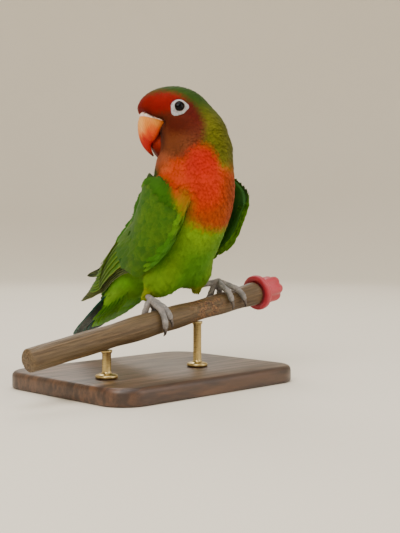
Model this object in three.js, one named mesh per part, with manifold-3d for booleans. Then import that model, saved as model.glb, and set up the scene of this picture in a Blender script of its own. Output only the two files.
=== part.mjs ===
// A life-size lovebird, perched on a short length of wooden perch that a plain stand holds.
// Millimetres, +Z up. The bird faces -Y with its head turned to its right, and +X is its left.
// The origin is the middle of the underside of the stand's base.

import * as THREE from "three";
import { mergeVertices } from "three/addons/utils/BufferGeometryUtils.js";
import Module from "manifold-3d";

const wasm = await Module();
wasm.setup();

// Driving dimensions
const GAP = 0.3; // between touching pieces
const SHORT = 0.06; // edges under this length are drawn together
const BASE = { length: 116, depth: 88, height: 8, corner: 14, bevel: 1 };
const PERCH_MIDDLE = [9, -13, 34]; // the perch's axis below the middle of the bird
const PERCH = { slope: 9, from: -92, to: 49, radii: [5.0, 5.3, 5.2, 5.6, 5.5, 4.9, 5.2, 5.8], bump: 0.14 };
const CAP = { flange: 9, flangeLength: 3.4, knob: 6.9, knobLength: 12.5, lobes: 6, lobeDepth: 1.1 };
const ROD = { radius: 2, at: [-50, 7], flange: 5, flangeHeight: 1.8 };

const point = (x, y, z) => new THREE.Vector3(x, y, z);
const radians = THREE.MathUtils.degToRad;
const clamp = THREE.MathUtils.clamp;
const mix = THREE.MathUtils.lerp;
const smooth = (from, to, x) => THREE.MathUtils.smoothstep(x, from, to);

// Eased steps between the values of a list that are spread evenly over 0 to 1
function listed(values, t) {
  const place = clamp(t, 0, 1) * (values.length - 1);
  const low = Math.min(Math.floor(place), values.length - 2);
  const ease = place - low;
  return mix(values[low], values[low + 1], ease * ease * (3 - 2 * ease));
}

const curveThrough = (points) =>
  new THREE.CatmullRomCurve3(points.map((p) => point(...p)), false, "centripetal");

// Solids

// A closed geometry as a solid, turned to face outwards
function solid(geometry) {
  const bare = geometry.index ? geometry.toNonIndexed() : geometry.clone();
  const shape = new THREE.BufferGeometry();
  shape.setAttribute("position", bare.getAttribute("position"));
  const merged = mergeVertices(shape, 1e-4);
  const build = (triVerts) =>
    new wasm.Manifold(
      new wasm.Mesh({ numProp: 3, vertProperties: merged.attributes.position.array, triVerts }),
    );
  const faces = new Uint32Array(merged.index.array);
  const made = build(faces);
  if (made.volume() > 0) return made;
  for (let i = 0; i < faces.length; i += 3) [faces[i + 1], faces[i + 2]] = [faces[i + 2], faces[i + 1]];
  return build(faces);
}

const unite = (solids) => wasm.Manifold.union(solids);

// The largest closed surface, which fills sealed hollows and drops loose scraps
function largest(made) {
  const bodies = made.decompose().sort((a, b) => b.volume() - a.volume());
  return bodies[0];
}

// The triangles of a solid, with every edge shorter than SHORT drawn together into one vertex
function withoutSlivers(made) {
  const { numProp, vertProperties, triVerts, numVert } = made.getMesh();
  const place = (v) => point(...vertProperties.subarray(v * numProp, v * numProp + 3));
  const same = Array.from({ length: numVert }, (_, v) => v);
  const root = (v) => (same[v] === v ? v : root(same[v]));
  const kept = new Map();
  for (let i = 0; i < triVerts.length; i++) {
    const next = i % 3 === 2 ? i - 2 : i + 1;
    const [a, b] = [root(triVerts[i]), root(triVerts[next])];
    if (a !== b && place(a).distanceTo(place(b)) < SHORT) same[Math.max(a, b)] = Math.min(a, b);
  }
  for (let i = 0; i < triVerts.length; i += 3) {
    const corners = [0, 1, 2].map((k) => root(triVerts[i + k]));
    if (new Set(corners).size < 3) continue;
    const key = [...corners].sort((a, b) => a - b).join();
    if (!kept.delete(key)) kept.set(key, corners);
  }
  return [...kept.values()].flat().map(place);
}

function meshOf(name, made, material) {
  const corners = new THREE.BufferGeometry().setFromPoints(withoutSlivers(largest(made)));
  const geometry = mergeVertices(corners, 1e-6);
  geometry.computeVertexNormals();
  const mesh = new THREE.Mesh(geometry, material);
  mesh.name = name;
  return mesh;
}

// A closed skin over rings of equal count, with a fan to the middle of the first and the last ring
function loft(rings) {
  const count = rings[0].length;
  const places = [];
  const middle = (ring) => ring.reduce((sum, p) => sum.add(p), point(0, 0, 0)).divideScalar(ring.length);
  const push = (...corners) => corners.forEach((p) => places.push(p.x, p.y, p.z));
  rings.slice(1).forEach((ring, r) => {
    for (let i = 0; i < count; i++) {
      const j = (i + 1) % count;
      push(rings[r][i], ring[i], ring[j]);
      push(rings[r][i], ring[j], rings[r][j]);
    }
  });
  const [first, last] = [rings[0], rings[rings.length - 1]];
  for (let i = 0; i < count; i++) {
    const j = (i + 1) % count;
    push(middle(first), first[i], first[j]);
    push(middle(last), last[j], last[i]);
  }
  const geometry = new THREE.BufferGeometry();
  geometry.setAttribute("position", new THREE.Float32BufferAttribute(places, 3));
  return geometry;
}

// A thin plate: upper(s, w) and lower(s, w) give its two faces for s along it and w across it,
// both split into triangles alike
function plate(along, across, upper, lower) {
  const rings = [];
  for (let a = 0; a <= along; a++) {
    const ring = [];
    for (let w = 0; w <= across; w++) ring.push(upper(a / along, (2 * w) / across - 1));
    for (let w = across; w >= 0; w--) ring.push(lower(a / along, (2 * w) / across - 1));
    rings.push(ring);
  }
  const count = 2 * (across + 1);
  const places = [];
  const push = (...corners) => corners.forEach((p) => places.push(p.x, p.y, p.z));
  const quad = (a, b, c, d, flip) => {
    if (flip) {
      push(a, b, d);
      push(b, c, d);
    } else {
      push(a, b, c);
      push(a, c, d);
    }
  };
  for (let a = 0; a < along; a++) {
    for (let i = 0; i < count; i++) {
      const j = (i + 1) % count;
      quad(rings[a][i], rings[a + 1][i], rings[a + 1][j], rings[a][j], i > across);
    }
  }
  for (const [ring, turned] of [[rings[0], false], [rings[along], true]]) {
    for (let i = 0; i < across; i++) {
      const corners = [ring[i], ring[i + 1], ring[count - 2 - i], ring[count - 1 - i]];
      if (turned) corners.reverse();
      quad(...corners, false);
    }
  }
  const geometry = new THREE.BufferGeometry();
  geometry.setAttribute("position", new THREE.Float32BufferAttribute(places, 3));
  return geometry;
}

// A round tube along points with a radius at each, closed by small domes
function tube(points, radii, sides = 10) {
  const rings = [];
  let side = null;
  points.forEach((p, i) => {
    const before = points[Math.max(i - 1, 0)];
    const after = points[Math.min(i + 1, points.length - 1)];
    const along = after.clone().sub(before).normalize();
    if (!side) side = Math.abs(along.x) < 0.8 ? point(1, 0, 0) : point(0, 1, 0);
    side = side.clone().addScaledVector(along, -side.dot(along)).normalize();
    const up = along.clone().cross(side);
    const dome = i === 0 ? -1 : i === points.length - 1 ? 1 : 0;
    const ringAt = (scale, shift) => {
      const ring = [];
      for (let k = 0; k < sides; k++) {
        const turn = (2 * Math.PI * k) / sides;
        ring.push(
          p.clone()
            .addScaledVector(side, Math.cos(turn) * radii[i] * scale)
            .addScaledVector(up, Math.sin(turn) * radii[i] * scale)
            .addScaledVector(along, shift * radii[i]),
        );
      }
      return ring;
    };
    if (dome < 0) rings.push(ringAt(0.6, -0.6));
    rings.push(ringAt(1, 0));
    if (dome > 0) rings.push(ringAt(0.6, 0.6));
  });
  return solid(loft(rings));
}

const MATERIALS = {
  plumage: new THREE.MeshStandardMaterial({ color: 0x5f8f17, roughness: 0.8 }),
  face: new THREE.MeshStandardMaterial({ color: 0xb03a14, roughness: 0.8 }),
  wing: new THREE.MeshStandardMaterial({ color: 0x3f7a12, roughness: 0.7 }),
  bill: new THREE.MeshStandardMaterial({ color: 0xd9702c, roughness: 0.35 }),
  cere: new THREE.MeshStandardMaterial({ color: 0xe6cfc4, roughness: 0.5 }),
  ring: new THREE.MeshStandardMaterial({ color: 0xe8e6e2, roughness: 0.55 }),
  eye: new THREE.MeshStandardMaterial({ color: 0x100b09, roughness: 0.08 }),
  foot: new THREE.MeshStandardMaterial({ color: 0xa6a4a6, roughness: 0.6 }),
  claw: new THREE.MeshStandardMaterial({ color: 0x3a3532, roughness: 0.4 }),
  perch: new THREE.MeshStandardMaterial({ color: 0x8c7250, roughness: 0.7 }),
  cap: new THREE.MeshStandardMaterial({ color: 0xb23b48, roughness: 0.45 }),
  base: new THREE.MeshStandardMaterial({ color: 0x4a3424, roughness: 0.5 }),
  rod: new THREE.MeshStandardMaterial({ color: 0xb8a878, roughness: 0.3, metalness: 1 }),
};

// The body: rounded masses that run into one another, from the perch's middle as origin

const HEAD = { centre: [-6.2, 3, 92.6], turn: 115, nod: 4 }; // degrees to its right, and down
const BLEND = 9; // how far from each other masses begin to melt together
const HEAD_BLEND = 6;

// The head's own directions: forward, to the bird's left, and up
const HEAD_AXES = (() => {
  const turn = radians(HEAD.turn);
  const level = point(-Math.sin(turn), -Math.cos(turn), 0);
  const left = point(-level.y, level.x, 0);
  const forward = level.clone().applyAxisAngle(left, radians(HEAD.nod));
  return { forward, left, up: forward.clone().cross(left) };
})();

const inHead = (f, l, u) =>
  point(...HEAD.centre)
    .addScaledVector(HEAD_AXES.forward, f)
    .addScaledVector(HEAD_AXES.left, l)
    .addScaledVector(HEAD_AXES.up, u);

// A mass of the body: its centre, its half sizes across, along and through it, and how far
// its back end dips
function mass(centre, radii, pitch) {
  const dip = radians(pitch);
  return {
    centre: point(...centre),
    axes: [
      point(1, 0, 0),
      point(0, Math.cos(dip), -Math.sin(dip)),
      point(0, Math.sin(dip), Math.cos(dip)),
    ],
    radii,
    blend: BLEND,
  };
}

function headMass([f, l, u], radii, blend = HEAD_BLEND) {
  const { forward, left, up } = HEAD_AXES;
  return { centre: inHead(f, l, u), axes: [left, forward, up], radii, blend };
}

const MASSES = [
  mass([0, -1.5, 52], [20, 25, 21.5], 64), // breast
  mass([0, 7, 33], [19.5, 23, 19], 52), // belly
  mass([0, 28, 25], [14, 22, 12.5], 44), // rump
  mass([0, 44, 12], [8.5, 18, 7.5], 41), // vent and tail root
  mass([0.5, -4.5, 65], [17.8, 15, 16.8], 74), // shoulders
  mass([1.6, -5.2, 78], [15.8, 17.5, 16], 90), // neck
  headMass([0.6, 0, 4], [12.9, 16, 10.6], BLEND), // crown
  headMass([-3, 0, -4.5], [13.4, 13, 12.5]), // cheeks
];
// The face falls back round the bill's root
const BILL_DENT = headMass([18, 0, -7.5], [11.5, 10.6, 10.4]);

function massDistance(m, p) {
  const d = p.clone().sub(m.centre);
  const local = m.axes.map((axis) => d.dot(axis));
  const scaled = Math.hypot(...local.map((v, i) => v / m.radii[i]));
  const squared = Math.hypot(...local.map((v, i) => v / (m.radii[i] * m.radii[i])));
  return squared < 1e-9 ? -Math.min(...m.radii) : (scaled * (scaled - 1)) / squared;
}

// Distance to the surface of the body, negative inside it
function bodyDistance(p) {
  const melted = (a, b, blend) => {
    const share = Math.max(blend - Math.abs(a - b), 0) / blend;
    return Math.min(a, b) - (share * share * blend) / 4;
  };
  const full = MASSES.reduce((nearest, m) => melted(nearest, massDistance(m, p), m.blend), 1e6);
  return -melted(-full, massDistance(BILL_DENT, p), 2.5);
}

function bodyNormal(p) {
  const e = 0.05;
  const along = (axis) =>
    bodyDistance(p.clone().addScaledVector(axis, e)) - bodyDistance(p.clone().addScaledVector(axis, -e));
  return point(along(point(1, 0, 0)), along(point(0, 1, 0)), along(point(0, 0, 1))).normalize();
}

// Where a ray from inside the body leaves its surface, grown by a few tenths or not
function surfaceAlong(from, direction, grow = 0) {
  const at = (t) => from.clone().addScaledVector(direction, t);
  const step = 1.5;
  let low = 0;
  while (low < 45 && bodyDistance(at(low + step)) < grow) low += step;
  let high = low + step;
  for (let i = 0; i < 14; i++) {
    const middle = (low + high) / 2;
    if (bodyDistance(at(middle)) < grow) low = middle;
    else high = middle;
  }
  return at((low + high) / 2);
}

const SPINE = curveThrough([
  [0, 47, 11], [0, 31, 24], [0, 13, 38], [0, 0, 54], [0, -2, 70], [-2.5, 0, 82], HEAD.centre,
]);
const TRUNK = { sides: 28, rings: 24, capRings: 5 };

// The whole trunk from the tail's root to the crown, as rings of points where rays leave the body
function trunk(grow) {
  const ringAt = (t, lean) => {
    const centre = SPINE.getPointAt(t);
    const along = SPINE.getTangentAt(t);
    const side = point(1, 0, 0).addScaledVector(along, -along.x).normalize();
    const back = along.clone().cross(side);
    const ring = [];
    for (let i = 0; i < TRUNK.sides; i++) {
      const turn = (2 * Math.PI * i) / TRUNK.sides;
      const direction = side
        .clone()
        .multiplyScalar(Math.cos(turn) * Math.cos(lean))
        .addScaledVector(back, Math.sin(turn) * Math.cos(lean))
        .addScaledVector(along, Math.sin(lean));
      ring.push(surfaceAlong(centre, direction, grow));
    }
    return ring;
  };
  const rings = [];
  const capTurn = Math.PI / 2 / (TRUNK.capRings + 0.3);
  for (let i = TRUNK.capRings; i > 0; i--) rings.push(ringAt(0, -i * capTurn));
  for (let i = 0; i <= TRUNK.rings; i++) rings.push(ringAt(i / TRUNK.rings, 0));
  for (let i = 1; i <= TRUNK.capRings; i++) rings.push(ringAt(1, i * capTurn));
  return solid(loft(rings));
}

// The part of a solid on the far side of a plane, half a gap clear of it
function beyond(made, place, normal) {
  const n = normal.clone().normalize();
  return made.trimByPlane(n.toArray(), n.dot(place) + GAP / 2);
}

// Feather vanes

// A vane over a surface: surface(p, q) gives a place and the normal there. The vane runs from root
// to tip, both as [p, q]. Its left edge is raised by tilt. It is deeper by sunk below, or above
// where sunk is negative.
function vane(surface, shape) {
  const { root, tip, half, lift = [0, 0], tilt = 0 } = shape;
  const { thick = 0.7, sunk = 0, blunt = 0.5, camber = 0.06 } = shape;
  const at = (s) => surface(mix(root[0], tip[0], s), mix(root[1], tip[1], s));
  const face = (s, w, under) => {
    const t = 1 - (1 - s) ** 1.5;
    const here = at(t);
    const ahead = at(Math.min(t + 0.02, 1.02)).place.clone().sub(at(t - 0.02).place).normalize();
    const across = here.normal.clone().cross(ahead).normalize();
    const widening = mix(0.6, 1, smooth(0, 0.45, t));
    const rounding = Math.sqrt(Math.max(1 - clamp((t - blunt) / (1 - blunt), 0, 1) ** 2, 0.015));
    const reach = half * widening * rounding * w;
    const depth = thick * (1 - 0.45 * Math.abs(w)) * mix(1, 0.62, t);
    const middle = mix(lift[0], lift[1], t) + tilt * w * widening - (camber * reach * reach) / half;
    const height = under ? middle - depth / 2 - Math.max(sunk, 0) : middle + depth / 2 - Math.min(sunk, 0);
    return here.place.clone().addScaledVector(across, reach).addScaledVector(here.normal, height);
  };
  return solid(plate(3, 2, (s, w) => face(s, w, false), (s, w) => face(s, w, true)));
}

// Wings: the folded right wing lies between its lower edge and its edge along the back. Between
// them it is pushed out to rest on the body, or bulges a little where it stands free behind it.
// p runs from the bend to the tip, q from the lower edge to the back.
const WING = {
  lower: curveThrough([
    [-16, -17, 51.5], [-17.6, -8, 34], [-17.6, 8, 22.5], [-14, 28, 16.8], [-10, 55, 8.2], [-7, 75, 3.6],
  ]),
  back: curveThrough([
    [-18.5, -1, 63.5], [-9.5, 15.5, 60.5], [-4.5, 31, 47.5], [-4.5, 50, 27.5], [-5, 65, 13.5], [-6.4, 77, 4.2],
  ]),
  bulge: 3.6,
  clear: [1, 2.9], // above the body, in front and behind
  raise: 7.5, // degrees that the left wing is held higher
  open: 5, // degrees that its bend stands off
};

function wingPlace(p, q) {
  const t = clamp(p, 0, 1);
  const low = WING.lower.getPointAt(t);
  const high = WING.back.getPointAt(t);
  const run = WING.lower.getTangentAt(t);
  const out = high.clone().sub(low).cross(run).normalize();
  const beyondTip = (p - t) * 100;
  const between = 4 * q * (1 - q);
  const flat = low.lerp(high, q);
  const rest = mix(WING.clear[0], WING.clear[1], smooth(0.3, 0.55, t));
  let [near, far] = [0, 14];
  for (let i = 0; i < 12; i++) {
    const middle = (near + far) / 2;
    if (bodyDistance(flat.clone().addScaledVector(out, middle)) < rest) near = middle;
    else far = middle;
  }
  const bulge = Math.hypot(near, between * WING.bulge * (1 - t) ** 0.8);
  return flat.addScaledVector(out, bulge).addScaledVector(run, beyondTip);
}

function wingSurface(p, q) {
  const e = 0.01;
  const along = wingPlace(p + e, q).sub(wingPlace(p - e, q));
  const across = wingPlace(p, q + e).sub(wingPlace(p, q - e));
  return { place: wingPlace(p, q), normal: across.cross(along).normalize() };
}

// A pad that carries the vanes of one part of the wing
function wingPad(from, to, top, bottom) {
  const face = (height) => (s, w) => {
    const p = mix(from[0], to[0], s);
    const q = mix(from[1], to[1], (w + 1) / 2);
    const { place, normal } = wingSurface(p, q);
    return place.addScaledVector(normal, height(p, q));
  };
  return solid(plate(5, 4, face(top), face(bottom)));
}

const WING_TIERS = [
  { count: 4, from: 0.04, to: 0.2, half: 5.4, lift: [0.6, 1.8], sunk: 2 },
  { count: 4, from: 0.14, to: 0.34, half: 5.8, lift: [0.7, 2.1], sunk: 2 },
  { count: 5, from: 0.27, to: 0.47, half: 5.2, lift: [0.8, 2.3], sunk: 2 },
  { count: 4, from: 0.41, to: 0.61, half: 5.4, lift: [1.7, 2.6], sunk: 0 },
];

function wingParts() {
  const edge = (q) => Math.sqrt(Math.max(1 - (2 * q - 1) ** 4, 0));
  const coverts = [wingPad([0, 0], [0.47, 1], (p, q) => 1.8 * edge(q) * smooth(-0.05, 0.1, p), () => -5)];
  for (const tier of WING_TIERS) {
    for (let i = 0; i < tier.count; i++) {
      const q = mix(0.04, 0.96, i / (tier.count - 1));
      const tip = [tier.to - 0.05 * (2 * q - 1) ** 2, q];
      const root = [tier.from, q];
      coverts.push(vane(wingSurface, { ...tier, root, tip, tilt: 0.3, thick: 0.6, blunt: 0.35 }));
    }
  }
  const secondaries = [wingPad([0.48, 0.3], [0.6, 1], () => 0.7, () => -0.2)];
  for (let i = 0; i < 6; i++) {
    const share = i / 5;
    const root = [0.52, mix(0.3, 0.96, share)];
    const tip = [mix(0.84, 0.7, share), mix(0.3, 0.86, share)];
    const lift = [0.2 + 0.12 * i, 0.5 + 0.38 * i];
    secondaries.push(vane(wingSurface, { root, tip, lift, half: 4.1, tilt: 0.4, thick: 0.65, blunt: 0.55 }));
  }
  const primaries = [wingPad([0.48, 0], [0.62, 0.28], () => -0.6, () => -2.6)];
  for (let i = 0; i < 5; i++) {
    const share = i / 4;
    const root = [0.5, mix(0.03, 0.26, share)];
    const tip = [mix(1, 0.86, share), mix(0.3, 0.75, share)];
    const lift = [-2 + 0.12 * i, -3 + 0.52 * i];
    const half = mix(2.6, 3.4, share);
    primaries.push(vane(wingSurface, { root, tip, lift, half, tilt: 0.3, thick: 0.6, blunt: 0.6 }));
  }
  return { coverts, secondaries, primaries };
}

// Tail: broad feathers under one another from the middle outwards, in a slot between the coverts

const TAIL = {
  root: [0, 43, 16.2],
  dip: 38.4, // degrees below level
  long: 54.5,
  shorter: 12, // how much shorter the outer feathers are
  spread: 5.6,
  count: 6,
  slot: [-3, 1.5],
  slotReach: [24, 70], // half the slot's width, and how far along it ends
  skew: 0.13,
};
const TAIL_ALONG = point(0, Math.cos(radians(TAIL.dip)), -Math.sin(radians(TAIL.dip)));
const TAIL_UP = point(0, Math.sin(radians(TAIL.dip)), Math.cos(radians(TAIL.dip)));

// p runs along the tail and q across it, both in millimetres, with its sides hanging a little
const tailSurface = (p, q) => ({
  place: point(...TAIL.root)
    .addScaledVector(TAIL_ALONG, p)
    .addScaledVector(point(1, 0, 0), q)
    .addScaledVector(TAIL_UP, -0.018 * q * q),
  normal: TAIL_UP.clone().addScaledVector(point(1, 0, 0), 0.036 * q).normalize(),
});

function tailFeathers() {
  const pieces = [];
  const root = 6;
  for (let i = 0; i < TAIL.count; i++) {
    const side = i % 2 ? 1 : -1;
    const share = (Math.floor(i / 2) + 0.5) / (TAIL.count / 2);
    const q = side * share;
    const depth = 0.75 - 2.4 * share - (i === 1 ? 0.6 : 0);
    pieces.push(
      vane(tailSurface, {
        root: [root, q * 3.6],
        tip: [TAIL.long - TAIL.shorter * share ** 1.6, q * TAIL.spread],
        half: 4.1, lift: [depth, depth], tilt: 0.3 * -side, thick: 0.75, blunt: 0.72, camber: 0.03,
      }),
    );
  }
  const face = (height) => (s, w) => {
    const { place, normal } = tailSurface(mix(root, root + 9, s), w * 6.2);
    return place.addScaledVector(normal, height);
  };
  pieces.push(solid(plate(2, 4, face(0.9), face(-2.2))));
  return unite(pieces);
}

function tailSlot() {
  const face = (height) => (s, w) => {
    const { place, normal } = tailSurface(mix(6 - GAP, TAIL.slotReach[1], s), w * TAIL.slotReach[0]);
    return place.addScaledVector(normal, height);
  };
  return solid(plate(3, 6, face(TAIL.slot[1]), face(TAIL.slot[0])));
}

function tailCoverts() {
  const pieces = [];
  const row = (count, along, reach, height, half) => {
    for (let i = 0; i < count; i++) {
      const q = (2 * i) / (count - 1) - 1;
      const skew = TAIL.skew * (i + 1); // no two lie quite alike
      const root = [along, q * reach * 0.7 + skew];
      const tip = [along + 19 - 5 * q * q, q * reach + skew];
      const outward = Math.sign(height);
      const lift = [height - 0.3 * outward, height + skew];
      pieces.push(vane(tailSurface, { root, tip, half, lift, thick: 1, sunk: 0.6 * outward, blunt: 0.35 }));
    }
  };
  row(2, 5, 2.6, 2.6, 4.2);
  row(3, 2, 6, -5.6, 4.4);
  row(2, 12, 3.4, -4.1, 4.6);
  return pieces;
}

// Bill: rings across it from inside the head to the tip. Each has its ridge and its cutting edge
// as [forward, up] from the head's middle, and half its width.
const BILL_UPPER = [
  { ridge: [6, 5.6], edge: [1, -5], half: 5.9 },
  { ridge: [12, 4.6], edge: [5, -5], half: 6 },
  { ridge: [15.3, 2.2], edge: [7.7, -6], half: 5.6 },
  { ridge: [17.1, -1.2], edge: [9.5, -7.8], half: 5 },
  { ridge: [17.5, -5], edge: [11, -9.5], half: 4.2 },
  { ridge: [17, -9], edge: [12.1, -11.2], half: 3.2 },
  { ridge: [15.6, -12.8], edge: [11.9, -12.8], half: 2.1 },
  { ridge: [13.4, -15.8], edge: [11.2, -15], half: 1.15 },
  { ridge: [11.2, -17.8], edge: [10.6, -17.2], half: 0.35 },
];
const BILL_LOWER = [
  { ridge: [0, -7], edge: [0, -14.5], half: 4.4 },
  { ridge: [6, -7.4], edge: [5, -16.6], half: 4.7 },
  { ridge: [8.8, -8.8], edge: [8, -17.3], half: 4.2 },
  { ridge: [10.4, -10.9], edge: [9.6, -17.1], half: 3.4 },
  { ridge: [11.2, -12.9], edge: [10.7, -15.9], half: 2.2 },
];
const CERE = { place: [15.8, 0.6], normal: [0.56, -0.83], nostril: [14.9, 2.2, 2.6], hole: 0.55 };

function billSolid(stations, grow, sides = 14) {
  const rings = stations.map(({ ridge, edge, half }) => {
    const top = inHead(ridge[0], 0, ridge[1]);
    const bottom = inHead(edge[0], 0, edge[1]);
    const middle = top.clone().lerp(bottom, 0.5);
    const rise = top.clone().sub(middle);
    const tall = rise.length();
    rise.normalize();
    const ring = [];
    for (let i = 0; i < sides; i++) {
      const turn = (2 * Math.PI * i) / sides;
      const c = Math.cos(turn);
      const widest = (half + grow) * Math.sin(turn) * (1 + 0.18 * -c);
      ring.push(
        middle.clone().addScaledVector(rise, (tall + grow) * c).addScaledVector(HEAD_AXES.left, widest),
      );
    }
    return ring;
  });
  return solid(loft(rings));
}

// Eyes: a ball in the head, and round it a ring of bare skin whose inner rim is the lids
const EYE = { at: [1.2, 3.7], ball: 3.4, show: 1.5, ring: [4.4, 4.05] };

function eyePlace(side) {
  const place = surfaceAlong(inHead(EYE.at[0], 0, EYE.at[1]), HEAD_AXES.left.clone().multiplyScalar(side));
  const out = bodyNormal(place).lerp(HEAD_AXES.left.clone().multiplyScalar(side), 0.4).normalize();
  return { place, out, centre: place.clone().addScaledVector(out, EYE.show - EYE.ball) };
}

const ball = (centre, radius, detail = [12, 8]) =>
  solid(new THREE.SphereGeometry(radius, ...detail).translate(centre.x, centre.y, centre.z));

function eyeRing(side, grow) {
  const { place, out } = eyePlace(side);
  const profile = [[0, -2.2], [3.7, -2.2], [4.2, 0], [3.5, 0.5], [2.75, 0.85], [0, 0.4]];
  const points = profile.map(([r, h], i) => {
    const rim = i > 0 && i < profile.length - 1 ? grow : 0;
    return new THREE.Vector2(Math.max(r + rim, 0), h + (i < 2 ? -grow : i > 2 ? grow : 0));
  });
  const forward = HEAD_AXES.forward.clone().addScaledVector(out, -HEAD_AXES.forward.dot(out)).normalize();
  const basis = new THREE.Matrix4().makeBasis(forward, out, forward.clone().cross(out));
  const geometry = new THREE.LatheGeometry(points, 16);
  geometry.scale(EYE.ring[0] / 4.2, 1, EYE.ring[1] / 4.2).applyMatrix4(basis);
  return solid(geometry.translate(place.x, place.y, place.z));
}

// Perch

const PERCH_TURN = radians(PERCH.slope);
const PERCH_ALONG = point(Math.cos(PERCH_TURN), 0, Math.sin(PERCH_TURN));
const PERCH_UP = point(-Math.sin(PERCH_TURN), 0, Math.cos(PERCH_TURN));
const perchRadius = (t) => listed(PERCH.radii, (t - PERCH.from) / (PERCH.to - PERCH.from));
// A place near the perch: t along it, out from its axis, at an angle up from level, towards the back or not
const nearPerch = (t, out, angle, backwards) =>
  PERCH_ALONG.clone()
    .multiplyScalar(t)
    .addScaledVector(PERCH_UP, out * Math.sin(radians(angle)))
    .addScaledVector(point(0, backwards ? 1 : -1, 0), out * Math.cos(radians(angle)));

function perchSolid(grow, from, to) {
  const rings = [];
  const steps = 14;
  const sides = 14;
  for (let i = 0; i <= steps; i++) {
    const t = mix(from, to, i / steps);
    const ring = [];
    for (let k = 0; k < sides; k++) {
      const bump = PERCH.bump * Math.sin(k * 2.4 + t * 0.11) * Math.sin(t * 0.23 + k);
      ring.push(nearPerch(t, perchRadius(t) + bump + grow, (360 * k) / sides, true));
    }
    rings.push(ring);
  }
  return solid(loft(rings));
}

function perchCap() {
  const start = PERCH.to + GAP;
  const at = (t, out) => {
    const ring = [];
    for (let k = 0; k < 18; k++) ring.push(nearPerch(t, out((Math.PI * k) / 9), k * 20, true));
    return ring;
  };
  const round = (radius) => () => radius;
  const valley = (turn) => CAP.lobeDepth * Math.abs(Math.sin((CAP.lobes * turn) / 2)) ** 3;
  const lobed = (radius) => (turn) => radius - valley(turn);
  const neck = start + CAP.flangeLength;
  const end = neck + CAP.knobLength;
  return solid(
    loft([
      at(start, round(CAP.flange - 0.8)),
      at(start + 0.8, round(CAP.flange)),
      at(neck - 0.6, round(CAP.flange - 0.2)),
      at(neck, round(CAP.flange - 1.4)),
      at(neck + 0.8, lobed(CAP.knob - 0.6)),
      at(neck + 4, lobed(CAP.knob)),
      at(end - 3, lobed(CAP.knob)),
      at(end - 1, lobed(CAP.knob - 0.8)),
      at(end, lobed(CAP.knob - 2.2)),
    ]),
  );
}

// Legs: a feathered thigh, a bare shank, and four toes, two forward and two back

// Each toe ends at a place along the perch, at an angle up from level on its side of it
const LEGS = {
  right: {
    hub: [-18.6, 4.4, 6.9], ankle: [-14.5, 12, 8.6], thigh: [-8, 4, 20],
    toes: [[-17.3, 8], [-21.2, -20], [-21.5, 6], [-14.5, -8]],
  },
  left: {
    hub: [25.2, 3, 14.3], ankle: [15, 7.8, 12.6], thigh: [8, 3, 21],
    toes: [[33.4, -2], [24.6, 6], [22, 4], [30, -8]],
  },
};
const BACK_TOES = 2; // the last two toes go back
const TOE_RADIUS = 1.5;

function toePath(leg, index) {
  const backwards = index >= leg.toes.length - BACK_TOES;
  const [end, to] = leg.toes[index];
  const start = leg.hub[0] / PERCH_ALONG.x;
  const near = (share, angle, extra) => {
    const t = mix(start, end, share);
    return nearPerch(t, perchRadius(t) + PERCH.bump + GAP + TOE_RADIUS + extra, angle, backwards);
  };
  const over = backwards ? near(0.35, 62, 2.2) : near(0.4, 86, 1.4);
  const path = [point(...leg.hub), over, near(0.75, 48, 0.5), near(0.95, mix(48, to, 0.6), 0), near(1, to, 0)];
  return new THREE.CatmullRomCurve3(path, false, "centripetal");
}

function foot(leg) {
  const hub = point(...leg.hub);
  const ankle = point(...leg.ankle);
  const pieces = [tube([ankle, ankle.clone().lerp(hub, 0.5), hub], [1.75, 1.5, 1.9], 10)];
  leg.toes.forEach((_, index) => {
    const points = toePath(leg, index).getSpacedPoints(6);
    const radii = points.map((_, i) => TOE_RADIUS * (1.06 - 0.02 * i + 0.06 * Math.cos(i * 2.1)));
    pieces.push(tube(points, radii, 6));
  });
  return unite(pieces);
}

function claw(leg, index) {
  const path = toePath(leg, index);
  const tip = path.getPointAt(1);
  const along = path.getTangentAt(1);
  const [end, to] = leg.toes[index];
  const backwards = index >= leg.toes.length - BACK_TOES;
  const inward = nearPerch(end, 0, to, backwards).sub(nearPerch(end, 1, to, backwards));
  const start = GAP + 0.6 * (TOE_RADIUS * 0.95 + 0.9);
  const rings = [0, 1.5, 3.2].map((d, i) =>
    tip
      .clone()
      .addScaledVector(along, start + d)
      .addScaledVector(inward, [0, 0.15, 1.1][i]),
  );
  return tube(rings, [0.85, 0.62, 0.2], 5);
}

function thigh(leg, grow = 0) {
  const top = point(...leg.thigh);
  const ankle = point(...leg.ankle);
  const low = ankle.clone().lerp(top, 0.12);
  const rings = [0, 0.2, 0.45, 0.7, 0.9, 1].map((s) => top.clone().lerp(low, s));
  const radii = [8.2, 8.4, 7.4, 6, 4.3, 2.9].map((radius) => radius + grow);
  return tube(rings, radii, 12);
}

const group = new THREE.Group();
const bird = new THREE.Group();
bird.position.set(...PERCH_MIDDLE);
group.add(bird);
const add = (name, made, material) => bird.add(meshOf(name, made, material));

// The trunk, parted into head, neck, torso and the tail's root
const whole = trunk(0);
const grown = trunk(GAP);
const headCut = {
  place: inHead(-4, 0, -13),
  normal: HEAD_AXES.forward.clone().multiplyScalar(0.42).add(point(0, 0, 0.9)),
};
const neckCut = { place: point(0, -4, 66), normal: point(0, -0.3, 0.95) };
const tailCut = { place: point(0, 41, 18), normal: TAIL_ALONG };
const reversed = (cut) => cut.normal.clone().negate();

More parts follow.
